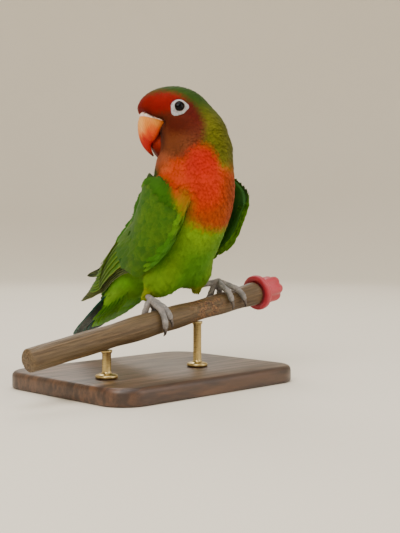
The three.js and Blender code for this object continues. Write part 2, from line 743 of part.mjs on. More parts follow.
let head = beyond(whole, headCut.place, headCut.normal);
const upperSocket = billSolid(BILL_UPPER, GAP + 0.35);
const lowerSocket = billSolid(BILL_LOWER, GAP);
head = head.subtract(upperSocket).subtract(lowerSocket);
for (const [side, name] of [[1, "left"], [-1, "right"]]) {
  const { centre } = eyePlace(side);
  const socket = ball(centre, EYE.ball + GAP);
  head = head.subtract(socket).subtract(eyeRing(side, GAP));
  add(`eye_${name}`, ball(centre, EYE.ball), MATERIALS.eye);
  add(`eye_ring_${name}`, eyeRing(side, 0).subtract(socket), MATERIALS.ring);
}
add("head", head, MATERIALS.face);

const cerePlane = {
  place: inHead(CERE.place[0], 0, CERE.place[1]),
  normal: inHead(CERE.normal[0], 0, CERE.normal[1]).sub(point(...HEAD.centre)),
};
add("bill_upper", beyond(billSolid(BILL_UPPER, 0), cerePlane.place, cerePlane.normal), MATERIALS.bill);
let cere = beyond(billSolid(BILL_UPPER, 0.35), cerePlane.place, reversed(cerePlane));
for (const side of [-1, 1]) {
  const [f, l, u] = CERE.nostril;
  cere = cere.subtract(ball(inHead(f, side * l, u), CERE.hole, [8, 6]));
}
add("cere", cere.subtract(beyond(lowerSocket, inHead(0, 0, -30), HEAD_AXES.up)), MATERIALS.cere);
add("bill_lower", billSolid(BILL_LOWER, 0).subtract(billSolid(BILL_UPPER, GAP + 0.35)), MATERIALS.bill);

const sockets = unite([upperSocket, lowerSocket]);
const belowHead = beyond(whole, headCut.place, reversed(headCut)).subtract(sockets);
add("neck", beyond(belowHead, neckCut.place, neckCut.normal), MATERIALS.face);
const belowNeck = beyond(belowHead, neckCut.place, reversed(neckCut));
add("torso", beyond(belowNeck, tailCut.place, reversed(tailCut)), MATERIALS.plumage);
const tailBase = beyond(belowNeck, tailCut.place, tailCut.normal);
const coverts = beyond(unite([tailBase, ...tailCoverts()]), tailCut.place, tailCut.normal);
add("tail_coverts", coverts.subtract(tailSlot()), MATERIALS.plumage);
add("tail_feathers", tailFeathers(), MATERIALS.wing);

// The wings: the left is the right one mirrored and held a little higher
const atBend = WING.lower.getPointAt(0).multiply(point(-1, 1, 1));
const atTip = WING.lower.getPointAt(1).multiply(point(-1, 1, 1));
const turned = (made, place, angles) =>
  made.translate(place.clone().negate().toArray()).rotate(angles).translate(place.toArray());
for (const [part, pieces] of Object.entries(wingParts())) {
  const right = unite(pieces);
  const opened = turned(right.mirror([1, 0, 0]), atTip, [0, 0, WING.open]);
  const left = turned(opened, atBend, [WING.raise, 0, 0]);
  add(`wing_right_${part}`, right.subtract(grown), MATERIALS.wing);
  add(`wing_left_${part}`, left.subtract(grown), MATERIALS.wing);
}

for (const [side, leg] of Object.entries(LEGS)) {
  add(`thigh_${side}`, thigh(leg).subtract(grown), MATERIALS.plumage);
  add(`foot_${side}`, foot(leg).subtract(thigh(leg, GAP)), MATERIALS.foot);
  leg.toes.forEach((_, index) => add(`claw_${side}_${index + 1}`, claw(leg, index), MATERIALS.claw));
}

add("perch", perchSolid(0, PERCH.from, PERCH.to), MATERIALS.perch);
add("perch_cap", perchCap(), MATERIALS.cap);

// The stand: a plate with rounded corners, and two rods up to the perch's underside
const plateShape = new THREE.Shape();
const [halfLength, halfDepth] = [BASE.length / 2 - BASE.bevel, BASE.depth / 2 - BASE.bevel];
const corner = BASE.corner - BASE.bevel;
for (const [x, y, turn] of [[1, 1, 0], [-1, 1, 1], [-1, -1, 2], [1, -1, 3]]) {
  const [cx, cy] = [x * (halfLength - corner), y * (halfDepth - corner)];
  plateShape.absarc(cx, cy, corner, (turn * Math.PI) / 2, ((turn + 1) * Math.PI) / 2);
}
const plateGeometry = new THREE.ExtrudeGeometry(plateShape, {
  depth: BASE.height - 2 * BASE.bevel, bevelThickness: BASE.bevel, bevelSize: BASE.bevel, bevelSegments: 1,
  curveSegments: 5,
});
group.add(meshOf("stand_base", solid(plateGeometry.translate(0, 0, BASE.bevel)), MATERIALS.base));

const perchGrown = perchSolid(GAP, PERCH.from - 1, PERCH.to);
ROD.at.forEach((t, i) => {
  const axis = nearPerch(t, 0, 0, true);
  const bottom = BASE.height + GAP - PERCH_MIDDLE[2];
  const profile = [[0, bottom], [ROD.flange, bottom], [ROD.flange, bottom + ROD.flangeHeight]];
  profile.push([ROD.radius, bottom + ROD.flangeHeight], [ROD.radius, axis.z - 2], [0, axis.z - 2]);
  const geometry = new THREE.LatheGeometry(profile.map((p) => new THREE.Vector2(...p)), 18);
  geometry.rotateX(Math.PI / 2).translate(axis.x, 0, 0);
  add(`stand_rod_${i ? "left" : "right"}`, solid(geometry).subtract(perchGrown), MATERIALS.rod);
});

export default group;
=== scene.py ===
"""A life-size lovebird on a short perch with a plain stand, as a museum shows it.

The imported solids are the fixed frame. Sizes are millimetres where a name doesn't say otherwise,
and bird places count from the perch's axis below the middle of the bird.
"""

import math

import bmesh
import bpy
import numpy as np
from mathutils import Matrix, Vector, noise
from mathutils.kdtree import KDTree


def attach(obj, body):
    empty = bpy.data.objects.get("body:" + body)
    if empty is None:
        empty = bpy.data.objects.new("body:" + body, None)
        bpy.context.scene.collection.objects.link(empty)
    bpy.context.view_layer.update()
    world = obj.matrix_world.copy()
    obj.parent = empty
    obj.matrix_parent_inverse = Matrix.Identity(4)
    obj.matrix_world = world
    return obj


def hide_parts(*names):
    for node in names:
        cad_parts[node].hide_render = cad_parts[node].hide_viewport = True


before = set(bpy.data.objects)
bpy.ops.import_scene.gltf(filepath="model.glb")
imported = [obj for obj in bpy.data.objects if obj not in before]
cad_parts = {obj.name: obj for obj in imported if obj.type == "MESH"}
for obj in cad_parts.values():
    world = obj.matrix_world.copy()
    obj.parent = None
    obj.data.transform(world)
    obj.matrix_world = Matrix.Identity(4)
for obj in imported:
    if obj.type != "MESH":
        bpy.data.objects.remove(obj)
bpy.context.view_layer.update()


# Floor, light and camera
# The floor is one pale sheet that curves up all round, as in a photo studio. Wide soft lamps
# light the bird from the camera's left, from above and a little from the right.

MM = 0.001
PERCH_MIDDLE = np.array([9.0, -13.0, 34.0])
CAMERA_PLACE = (-0.3062, -0.3370, 0.0700)
CAMERA_TURN = 45  # degrees from looking along +Y towards +X
CAMERA_DIP = 1.72  # degrees
FOCAL_PIXELS = 950
PHOTO_LONG_SIDE = 533
FLOOR = {"flat": 1.1, "wall": 1.7, "height": 1.9, "sides": 96}
LAMPS = [  # name, place, size, watts, colour
    ("key", (-0.75, -0.35, 0.75), 0.7, 9.0, (1.0, 0.97, 0.92)),
    ("fill", (0.45, -0.9, 0.45), 0.9, 4.0, (0.95, 0.97, 1.0)),
    ("back", (0.5, 0.7, 0.8), 0.6, 5.0, (1.0, 0.98, 0.95)),
    ("top", (-0.1, -0.1, 1.2), 0.9, 6.0, (1.0, 1.0, 1.0)),
]


def linear(red, green, blue):
    """A colour given as the eye reads it, 0 to 255, as the renderer counts light."""
    return tuple(((c / 255 + 0.055) / 1.055) ** 2.4 if c > 10 else c / 3294.6
                 for c in (red, green, blue)) + (1.0,)


def node(tree, kind, settings=None, **inputs):
    """A node of a shader or geometry tree. An input is a value or another node's socket, by its
    name with _ for spaces, or by its number as i0, i1 and so on."""
    made = tree.nodes.new(kind)
    for key, value in (settings or {}).items():
        setattr(made, key, value)
    for key, value in inputs.items():
        numbered = key[0] == "i" and key[1:].isdigit()
        socket = made.inputs[int(key[1:])] if numbered else made.inputs[key.replace("_", " ")]
        if isinstance(value, bpy.types.NodeSocket):
            tree.links.new(value, socket)
        else:
            socket.default_value = value
    return made


class Nodes:
    """A tree of nodes, with the steps that many of them share. A colour may be given as the eye
    reads it, 0 to 255."""

    def __init__(self, tree):
        self.tree = tree

    def node(self, kind, settings=None, **inputs):
        return node(self.tree, kind, settings, **inputs)

    def place(self):
        return self.node("ShaderNodeTexCoord").outputs["Object"]

    def known(self, name, output="Vector"):
        return self.node("ShaderNodeAttribute", {"attribute_name": name}).outputs[output]

    def parts(self, vector):
        return self.node("ShaderNodeSeparateXYZ", i0=vector).outputs

    def mix(self, share, first, second, blend="MIX"):
        first, second = (linear(*c) if isinstance(c, tuple) else c for c in (first, second))
        settings = {"data_type": "RGBA", "blend_type": blend}
        return self.node("ShaderNodeMix", settings, i0=share, i6=first, i7=second).outputs[2]

    def ramp(self, value, low, high, start=0.0, end=1.0):
        """value from low to high, eased, as start to end."""
        made = self.node("ShaderNodeMapRange", {"interpolation_type": "SMOOTHSTEP"}, Value=value,
                         From_Min=low, From_Max=high, To_Min=start, To_Max=end)
        return made.outputs[0]

    def count(self, operation, first, second=0.0):
        return self.node("ShaderNodeMath", {"operation": operation}, i0=first, i1=second).outputs[0]

    def vector(self, operation, output=0, **inputs):
        return self.node("ShaderNodeVectorMath", {"operation": operation}, **inputs).outputs[output]

    def speckle(self, place, scale, detail=4.0, roughness=0.55):
        made = self.node("ShaderNodeTexNoise", Vector=place, Scale=scale, Detail=detail, Roughness=roughness)
        return made.outputs["Fac"]

    def stretch(self, place, scale):
        return self.node("ShaderNodeMapping", Vector=place, Scale=scale).outputs[0]


class Finish(Nodes):
    """A new material with its shader."""

    def __init__(self, name, roughness=0.5, **settings):
        self.material = bpy.data.materials.new(name)
        self.material.use_nodes = True
        super().__init__(self.material.node_tree)
        self.shader = self.tree.nodes["Principled BSDF"].inputs
        for key, value in (settings | {"Roughness": roughness}).items():
            self.shader[key.replace("_", " ")].default_value = value

    def bump(self, height, distance, strength=1.0):
        made = self.node("ShaderNodeBump", Height=height, Distance=distance, Strength=strength)
        self.tree.links.new(made.outputs[0], self.shader["Normal"])

    def paint(self, colour, roughness=None):
        self.tree.links.new(colour, self.shader["Base Color"])
        if roughness is not None:
            self.tree.links.new(roughness, self.shader["Roughness"])


def bare_mesh(name, places, faces):
    """An object with a mesh from places in millimetres."""
    mesh = bpy.data.meshes.new(name)
    mesh.from_pydata((np.asarray(places, float) * MM).tolist(), [], [tuple(map(int, f)) for f in faces])
    made = bpy.data.objects.new(name, mesh)
    bpy.context.scene.collection.objects.link(made)
    return made


def mesh_piece(name, places, faces, ink):
    """A smooth piece in one finish."""
    made = bare_mesh(name, places, faces)
    made.data.validate()
    made.data.shade_smooth()
    made.data.materials.append(ink.material)
    return made


def keep(piece, slot, *nodes):
    """Fixes a finished piece to the model in place of its solids."""
    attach(piece, "root")
    if nodes:
        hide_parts(*nodes)
    return piece


def ring_faces(rings, sides, closed=True):
    """Quads between rings of places that are listed one after another."""
    made = []
    for r in range(rings - 1):
        for k in range(sides if closed else sides - 1):
            j = (k + 1) % sides
            made.append((r * sides + k, r * sides + j, (r + 1) * sides + j, (r + 1) * sides + k))
    return made


def tube_faces(rings, sides):
    """The same, with a face over each end."""
    last = (rings - 1) * sides
    return ring_faces(rings, sides) + [tuple(reversed(range(sides))), tuple(last + k for k in range(sides))]


def around(sides):
    """Even turns round a ring."""
    return np.linspace(0, 2 * np.pi, sides, endpoint=False)


def turned_rings(profile, sides):
    """Rings round an upright axis, from radii and heights listed upwards."""
    turn = around(sides)
    return np.concatenate([np.stack([r * np.cos(turn), r * np.sin(turn), np.full(sides, h)], -1)
                           for r, h in profile])


floor_finish = ink = Finish("studio_floor", 0.9)
floor_tone = ink.speckle(ink.place(), 3.0)
ink.paint(ink.mix(floor_tone, (228, 219, 202), (234, 226, 210)))
bend = np.linspace(0, np.pi / 2, 14)
wide = FLOOR["wall"] - FLOOR["flat"]
profile = [(0.001, 0.0), (0.3, 0.0), (0.7, 0.0)]
profile += [(FLOOR["flat"] + wide * math.sin(b), wide * (1 - math.cos(b))) for b in bend]
profile.append((FLOOR["wall"], FLOOR["height"]))
faces = [f[::-1] for f in ring_faces(len(profile), FLOOR["sides"])]
floor = mesh_piece("studio_floor", turned_rings(profile, FLOOR["sides"]) / MM, faces, floor_finish)

for name, place, size, watts, colour in LAMPS:
    lamp = bpy.data.lights.new(name, "AREA")
    lamp.shape = "DISK"
    lamp.size = size
    lamp.energy = watts
    lamp.color = colour
    holder = bpy.data.objects.new(name, lamp)
    holder.location = place
    holder.rotation_euler = (Vector((0, 0, 0.08)) - Vector(place)).to_track_quat("-Z", "Y").to_euler()
    bpy.context.scene.collection.objects.link(holder)

world = bpy.data.worlds.new("studio_air")
world.use_nodes = True
world.node_tree.nodes["Background"].inputs["Color"].default_value = linear(232, 230, 224)
world.node_tree.nodes["Background"].inputs["Strength"].default_value = 0.8
bpy.context.scene.world = world

view = bpy.data.cameras.new("view")
view.lens = view.sensor_width * FOCAL_PIXELS / PHOTO_LONG_SIDE
view.clip_start = 0.01
camera = bpy.data.objects.new("camera", view)
camera.location = CAMERA_PLACE
camera.rotation_euler = (math.radians(90 - CAMERA_DIP), 0, math.radians(-CAMERA_TURN))
bpy.context.scene.collection.objects.link(camera)
bpy.context.scene.camera = camera


# Stand
# A flat plate of dark stained wood with rounded corners and a softened rim, and two brass rods
# with small round feet that hold the perch from below.

BASE = {"length": 116, "depth": 88, "height": 8, "corner": 14}
BASE_RIM = [(1.4, 0), (0.5, 0.25), (0.1, 0.8), (0, 1.6), (0, 5.6), (0.25, 6.7), (0.9, 7.5), (1.8, 7.9),
            (2.6, 8)]
ROD = {"radius": 2, "at": [-50, 7], "flange": 5, "sides": 48, "gap": 0.3}

wood_stain = ink = Finish("stained_wood", 0.42, Coat_Weight=0.15, Coat_Roughness=0.3)
grain_place = ink.stretch(ink.place(), (14, 160, 90))
grain = ink.speckle(grain_place, 2.2, 8.0, 0.62)
broad = ink.speckle(ink.stretch(ink.place(), (8, 60, 40)), 1.5, 2.0)
stain = ink.mix(ink.ramp(grain, 0.36, 0.66), (52, 33, 22), (96, 64, 42))
ink.paint(ink.mix(ink.ramp(broad, 0.35, 0.7, 0, 0.5), stain, (44, 28, 20)),
          ink.ramp(grain, 0.3, 0.7, 0.5, 0.36))
ink.bump(grain, 0.0002, 0.25)


def rounded_outline(length, depth, corner, steps=12):
    """Places round a rectangle with rounded corners."""
    places = []
    for x, y, quarter in ((1, 1, 0), (-1, 1, 1), (-1, -1, 2), (1, -1, 3)):
        for i in range(steps + 1):
            turn = (quarter + i / steps) * math.pi / 2
            places.append((x * (length / 2 - corner) + corner * math.cos(turn),
                           y * (depth / 2 - corner) + corner * math.sin(turn)))
    return places


rings = []
for inset, height in BASE_RIM:
    outline = rounded_outline(BASE["length"] - 2 * inset, BASE["depth"] - 2 * inset, BASE["corner"] - inset)
    rings += [(x, y, height) for x, y in outline]
faces = tube_faces(len(BASE_RIM), len(rings) // len(BASE_RIM))
keep(mesh_piece("stand_plate", rings, faces, wood_stain), "stand_base", "stand_base")

brass = ink = Finish("brushed_brass", 0.3, Metallic=1.0)
brushed = ink.speckle(ink.stretch(ink.place(), (60, 60, 2400)), 3.0, 3.0)
ink.paint(ink.mix(brushed, (176, 152, 96), (206, 184, 128)), ink.ramp(brushed, 0.3, 0.7, 0.24, 0.4))
ink.bump(brushed, 0.0001, 0.2)


# Perch
# A round stick of pale brown wood, worn smooth, with fine cracks along it, a stretch that has
# been gnawed, and sawn ends. A red plastic cap with a flange and a lobed grip sits on one end.

PERCH = {"slope": 9, "from": -92, "to": 49, "radii": [5.0, 5.3, 5.2, 5.6, 5.5, 4.9, 5.2, 5.8], "bump": 0.14}
GNAWED = {"from": -4, "to": 24, "depth": 0.35, "turn": 2.6, "reach": 0.75}
CRACK = {"depth": 0.22, "narrow": 9}
CAP = {"flange": 9, "flange_length": 3.4, "knob": 6.9, "knob_length": 12.5, "lobes": 6, "lobe_depth": 1.1,
       "gap": 0.3}
slope = math.radians(PERCH["slope"])
PERCH_ALONG = np.array([math.cos(slope), 0, math.sin(slope)])
PERCH_UP = np.array([-math.sin(slope), 0, math.cos(slope)])


def eased(low, high, x):
    """0 below low and 1 above high, with a soft step between."""
    share = np.clip((np.asarray(x, float) - low) / (high - low), 0, 1)
    return share * share * (3 - 2 * share)


def listed(values, t):
    """Eased steps between the values of a list spread over 0 to 1."""
    place = np.clip(t, 0, 1) * (len(values) - 1)
    low = np.minimum(np.floor(place).astype(int), len(values) - 2)
    share = place - low
    values = np.asarray(values, float)
    return values[low] + (values[low + 1] - values[low]) * share * share * (3 - 2 * share)


def perch_radius(t):
    """The stick's mean radius at a place along its axis."""
    return listed(PERCH["radii"], (t - PERCH["from"]) / (PERCH["to"] - PERCH["from"]))


def near_perch(t, out, angle, back=1):
    """A place t along the perch's axis, out from it at an angle up from level."""
    turn = math.radians(angle)
    return PERCH_ALONG * t + PERCH_UP * out * math.sin(turn) + np.array([0, back, 0]) * out * math.cos(turn)


def perch_rings(outlines, sides):
    """Rings round the perch's axis, from places along it and radii at each turn."""
    turn = around(sides)
    return np.array([near_perch(t, out, math.degrees(k)) for t, outs in outlines
                     for k, out in zip(turn, outs)]) + PERCH_MIDDLE


def worn_radii(t, sides):
    """The stick's radii at one place along it, with its cracks, knots and gnawed side."""
    worn = eased(GNAWED["from"], GNAWED["from"] + 5, t) * (1 - eased(GNAWED["to"] - 5, GNAWED["to"], t))
    end = min(t - PERCH["from"], PERCH["to"] - t)
    radii = []
    for turn in around(sides):
        across = math.cos(turn), math.sin(turn)
        bump = PERCH["bump"] * math.sin(turn * 14 / 2.618 / math.pi) * math.sin(t * 0.23 + turn * 2)
        crack = noise.noise(Vector((t * 0.035, across[0] * 5, across[1] * 5)))
        bump -= CRACK["depth"] * max(0.0, abs(crack) * -CRACK["narrow"] + 1)
        chip = noise.noise(Vector((t * 0.55, across[0] * 2.3, across[1] * 2.3 + 7)))
        facing = max(0.0, 1 - ((turn - GNAWED["turn"]) / GNAWED["reach"]) ** 2)
        bump -= worn * facing * GNAWED["depth"] * max(0.0, chip + 0.25) * 2
        bump -= 0.5 * max(0.0, 1 - end / 0.7) ** 2
        radii.append(perch_radius(t) + bump)
    return radii


perch_wood = ink = Finish("perch_wood", 0.62)
turned = ink.node("ShaderNodeMapping", Vector=ink.place(), Rotation=(0, slope, 0)).outputs[0]
fibre = ink.speckle(ink.stretch(turned, (30, 700, 700)), 1.6, 7.0, 0.65)
streak = ink.speckle(ink.stretch(turned, (14, 260, 260)), 1.4, 3.0, 0.5)
patchy = ink.speckle(turned, 60.0, 3.0, 0.6)
along = ink.parts(turned)[0]
wood = ink.mix(ink.ramp(fibre, 0.35, 0.68), (62, 45, 24), (112, 87, 52))
wood = ink.mix(ink.ramp(streak, 0.42, 0.62, 0, 0.7), wood, (90, 73, 48))
wood = ink.mix(ink.ramp(patchy, 0.55, 0.72, 0, 0.5), wood, (72, 54, 34))
gnaw_start, gnaw_end = ((GNAWED[end] + PERCH_MIDDLE @ PERCH_ALONG) * MM for end in ("from", "to"))
gnawed = ink.count("MULTIPLY", ink.ramp(along, gnaw_start, gnaw_start + 0.008),
                   ink.ramp(along, gnaw_end - 0.008, gnaw_end, 1, 0))
bitten = ink.speckle(ink.stretch(turned, (300, 420, 420)), 1.0, 3.0, 0.6)
gnawed = ink.count("MULTIPLY", gnawed, ink.ramp(bitten, 0.42, 0.56, 0, 0.85))
splinters = ink.speckle(ink.stretch(turned, (900, 1300, 1300)), 1.0, 3.0)
wood = ink.mix(gnawed, wood, ink.mix(ink.ramp(splinters, 0.4, 0.6), (66, 38, 20), (138, 98, 56)))
ink.paint(wood, ink.ramp(fibre, 0.3, 0.7, 0.7, 0.5))
ink.bump(fibre, 0.0004, 0.5)
PERCH_SIDES, PERCH_RINGS, CAP_SIDES = 96, 260, 144
outlines = [(t, worn_radii(t, PERCH_SIDES)) for t in np.linspace(PERCH["from"], PERCH["to"], PERCH_RINGS)]
keep(mesh_piece("perch_stick", perch_rings(outlines, PERCH_SIDES), tube_faces(PERCH_RINGS, PERCH_SIDES),
                perch_wood),
     "perch_wood", "perch")


def cap_profile():
    """The cap's places along the perch, radii and how far it is lobed there."""
    start = PERCH["to"] + CAP["gap"]
    neck = start + CAP["flange_length"]
    end = neck + CAP["knob_length"]
    flange, knob = CAP["flange"], CAP["knob"]
    steps = [(start + 1.2, 5.9, 0), (start + 0.1, 6.3, 0), (start, 6.8, 0), (start, flange - 1.2, 0),
             (start + 0.2, flange - 0.5, 0), (start + 0.8, flange - 0.05, 0), (start + 1.7, flange, 0),
             (neck - 0.9, flange - 0.1, 0), (neck - 0.3, flange - 0.5, 0), (neck, flange - 1.2, 0),
             (neck + 0.1, knob + 0.4, 0.2), (neck + 0.7, knob - 0.5, 0.8), (neck + 1.6, knob - 0.2, 1)]
    steps += [(t, knob, 1) for t in np.linspace(neck + 3, end - 3.2, 6)]
    return steps + [(end - 1.7, knob - 0.35, 1), (end - 0.7, knob - 1.0, 1), (end - 0.15, knob - 2.0, 1),
                    (end, knob - 3.0, 0.9), (end - 0.05, 2.4, 0.4), (end - 0.5, 1.6, 0), (end - 0.6, 0.4, 0)]


cap_plastic = ink = Finish("cap_plastic", 0.42, Subsurface_Weight=0.2, Subsurface_Scale=0.002)
scuffed = ink.speckle(ink.place(), 420.0, 4.0, 0.6)
dusty = ink.speckle(ink.place(), 90.0, 3.0, 0.5)
red = ink.mix(ink.ramp(dusty, 0.4, 0.7, 0, 0.6), (170, 40, 54), (190, 72, 84))
ink.paint(ink.mix(ink.ramp(scuffed, 0.58, 0.75, 0, 0.5), red, (208, 108, 114)),
          ink.ramp(scuffed, 0.35, 0.7, 0.36, 0.6))
ink.bump(scuffed, 0.0002, 0.3)
valley = np.abs(np.sin(CAP["lobes"] * around(CAP_SIDES) / 2)) ** 3
outlines = [(t, out - lobed * CAP["lobe_depth"] * valley) for t, out, lobed in cap_profile()]
keep(mesh_piece("perch_cap_grip", perch_rings(outlines, CAP_SIDES), tube_faces(len(outlines), CAP_SIDES),
                cap_plastic),
     "cap_plastic", "perch_cap")

for side, t in zip(("right", "left"), ROD["at"]):
    axis = near_perch(t, 0, 0) + PERCH_MIDDLE
    foot = BASE["height"] + ROD["gap"]
    under = axis[2] - float(perch_radius(t)) - ROD["gap"]
    flange, radius = ROD["flange"], ROD["radius"]
    profile = [(flange - 0.3, foot), (flange, foot + 0.2), (flange, foot + 1.1), (flange - 0.3, foot + 1.5),
               (flange - 1.2, foot + 1.8), (radius + 0.6, foot + 1.95), (radius + 0.1, foot + 2.4),
               (radius, foot + 3.2), (radius, under - 1.6), (radius + 0.5, under - 0.9),
               (radius + 0.6, under - 0.3), (radius + 0.5, under)]
    places = turned_rings(profile, ROD["sides"]) + (axis[0], axis[1], 0)
    rod = mesh_piece(f"stand_post_{side}", places, tube_faces(len(profile), ROD["sides"]), brass)
    keep(rod, "stand_rod", f"stand_rod_{side}")


# Body skin
# One closed skin stands for the flesh of the head, neck, trunk and thighs. It lies inside the
# solids by the coat's depth, and carries the same markings as the feathers that grow on it.

HEAD = {"centre": (-6.2, 3, 92.6), "turn": 115, "nod": 4}
BLEND = 9
HEAD_BLEND = 6
BODY_MASSES = [  # middle, half sizes, degrees that the back end dips
    ((0, -1.5, 52), (20, 25, 21.5), 64),
    ((0, 7, 33), (19.5, 23, 19), 52),
    ((0, 28, 25), (14, 22, 12.5), 44),
    ((0, 44, 12), (8.5, 18, 7.5), 41),
    ((0.5, -4.5, 65), (17.8, 15, 16.8), 74),
    ((1.6, -5.2, 78), (15.8, 17.5, 16), 90),
]
HEAD_MASSES = [((0.6, 0, 4), (12.9, 16, 10.6), BLEND), ((-3, 0, -4.5), (13.4, 13, 12.5), HEAD_BLEND)]
BILL_DENT = ((18, 0, -7.5), (11.5, 10.6, 10.4))
GAPE_DENTS = [((12.4, 7.6 * side, -3.0), (4.2, 5.0, 2.5)) for side in (1, -1)]  # at the mouth's corners
SPINE = [(0, 47, 11), (0, 31, 24), (0, 13, 38), (0, 0, 54), (0, -2, 70), (-2.5, 0, 82), HEAD["centre"]]
COAT_DEPTH = {"body": 2.0, "head": 0.9, "face": 0.45}
NAPE_SHAPE = [  # middle, reach, how much deeper the skin lies
    ((6.3, -11, 95.3), 6.5, -1.3), ((9.8, -15.3, 88), 4.5, 0.9)]
SKIN = {"sides": 160, "rings": 200, "cap_rings": 22, "cap_lean": 1.54}


def unit(v):
    return v / np.maximum(np.linalg.norm(v, axis=-1, keepdims=True), 1e-9)


def turned_about(v, axis, degrees):
    angle = math.radians(degrees)
    axis = unit(np.asarray(axis, float))
    v = np.asarray(v, float)
    along = (v @ axis)[..., None] * axis
    return v * math.cos(angle) + np.cross(axis, v) * math.sin(angle) + along * (1 - math.cos(angle))


head_level = np.array([-math.sin(math.radians(HEAD["turn"])), -math.cos(math.radians(HEAD["turn"])), 0])
HEAD_LEFT = np.array([-head_level[1], head_level[0], 0])
HEAD_FORWARD = turned_about(head_level, HEAD_LEFT, HEAD["nod"])
HEAD_UP = np.cross(HEAD_FORWARD, HEAD_LEFT)
HEAD_FRAME = np.array([HEAD_FORWARD, HEAD_LEFT, HEAD_UP])


def in_head(forward, left, up):
    """A place given in the head's own directions from its middle."""
    return np.array(HEAD["centre"]) + np.array([forward, left, up]) @ HEAD_FRAME


class Curve:
    """A smooth centripetal curve through points, read by its share of length."""

    def __init__(self, points, steps=60):
        p = np.array(points, float)
        p = np.vstack([2 * p[0] - p[1], p, 2 * p[-1] - p[-2]])
        rows = []
        for a, b, c, d in zip(p, p[1:], p[2:], p[3:]):
            gaps = [max(np.linalg.norm(v - u) ** 0.5, 1e-6) for u, v in ((a, b), (b, c), (c, d))]
            start = ((b - a) / gaps[0] - (c - a) / (gaps[0] + gaps[1]) + (c - b) / gaps[1]) * gaps[1]
            end = ((c - b) / gaps[1] - (d - b) / (gaps[1] + gaps[2]) + (d - c) / gaps[2]) * gaps[1]
            s = np.linspace(0, 1, steps, endpoint=False)[:, None]
            rows.append(b + start * s + (3 * (c - b) - 2 * start - end) * s**2
                        + (2 * (b - c) + start + end) * s**3)
        self.places = np.vstack(rows + [p[-2][None]])
        length = np.concatenate([[0], np.cumsum(np.linalg.norm(np.diff(self.places, axis=0), axis=1))])
        self.length = length[-1]
        self.share = length / length[-1]

    def at(self, t):
        t = np.clip(t, 0, 1)
        return np.stack([np.interp(t, self.share, self.places[:, i]) for i in range(3)], -1)

    def along(self, t, step=0.004):
        t = np.clip(t, step, 1 - step)
        return unit(self.at(t + step) - self.at(t - step))


def mass(centre, radii, axes, blend):
    return {"centre": np.array(centre, float), "radii": np.array(radii, float), "axes": np.array(axes),
            "blend": blend}


def body_mass(centre, radii, dip):
    c, s = math.cos(math.radians(dip)), math.sin(math.radians(dip))
    return mass(centre, radii, [(1, 0, 0), (0, c, -s), (0, s, c)], BLEND)


def head_mass(place, radii, blend):
    return mass(in_head(*place), radii, [HEAD_LEFT, HEAD_FORWARD, HEAD_UP], blend)


MASSES = [body_mass(*m) for m in BODY_MASSES] + [head_mass(*m) for m in HEAD_MASSES]
DENT = head_mass(*BILL_DENT, 2.5)
GAPES = [head_mass(*dent, 1.2) for dent in GAPE_DENTS]


def mass_distance(m, places):
    """Distance to a rounded mass, close to true near its surface."""
    local = (places - m["centre"]) @ m["axes"].T
    scaled = np.linalg.norm(local / m["radii"], axis=-1)
    squared = np.linalg.norm(local / m["radii"] ** 2, axis=-1)
    return scaled * (scaled - 1) / np.maximum(squared, 1e-9)


def melted(a, b, blend):
    """The nearer of two distances, with a soft fillet where they are alike."""
    share = np.maximum(blend - np.abs(a - b), 0) / blend
    return np.minimum(a, b) - share * share * blend / 4


def body_distance(places, masses=MASSES):
    """Distance to the body's outer surface, negative inside it."""
    nearest = mass_distance(masses[0], places)
    for m in masses[1:]:
        nearest = melted(nearest, mass_distance(m, places), m["blend"])
    for dent in (DENT, *GAPES):
        nearest = -melted(-nearest, mass_distance(dent, places), dent["blend"])
    return nearest


def slope_of(distance, places, step=0.05):
    """The direction in which a distance grows."""
    shifts = np.eye(3) * step
    return unit(np.stack([distance(places + s) - distance(places - s) for s in shifts], -1))


def leaving(distance, start, way, reach=45.0, stride=1.5):
    """Where rays from inside a surface leave it."""
    low = np.zeros(len(start))
    inside = np.ones(len(start), bool)
    for _ in range(int(reach / stride)):
        inside &= distance(start + way * (low + stride)[:, None]) < 0
        low = np.where(inside, low + stride, low)
    high = low + stride
    for _ in range(13):
        middle = (low + high) / 2
        within = distance(start + way * middle[:, None]) < 0
        low, high = np.where(within, middle, low), np.where(within, high, middle)
    return start + way * ((low + high) / 2)[:, None]


BILL_ROOT = in_head(12, 0, -4)
EYE = {"at": (1.2, 3.7), "ball": 3.25, "show": 1.25, "ring": 3.75, "opening": 2.12}


def coat_depth(places):
    """How far the skin lies below the coat's outer surface."""
    up_neck = eased(62, 84, places[..., 2])
    depth = COAT_DEPTH["body"] + (COAT_DEPTH["head"] - COAT_DEPTH["body"]) * up_neck
    near_bill = 1 - eased(10, 20, np.linalg.norm(places - BILL_ROOT, axis=-1))
    for middle, reach, more in NAPE_SHAPE:
        depth = depth + more * np.exp(-((np.linalg.norm(places - middle, axis=-1) / reach) ** 2))
    return depth + (COAT_DEPTH["face"] - depth) * near_bill


LEGS = {
    "right": {"hub": (-18.6, 4.4, 6.9), "ankle": (-14.5, 12, 8.6), "thigh": (-8, 4, 20), "radius": 6.9,
              "tuft": [(-9.5, 5.5, 18.5), (-12.8, 9.5, 13), (-15.2, 13.0, 7.4)],
              "toes": [(-17.3, 8), (-21.2, -20), (-21.5, 6), (-14.5, -8)]},
    "left": {"hub": (25.2, 3, 14.3), "ankle": (15, 7.8, 12.6), "thigh": (9.5, 2, 22.5), "radius": 5.9,
             "tuft": [(10.5, 3.5, 20.5), (12.2, 5.4, 15), (12.8, 6.8, 10.4)],
             "toes": [(33.4, -2), (24.6, 6), (22, 4), (30, -8)]},
}
THIGH = {"long": 9.0, "blend": 9}


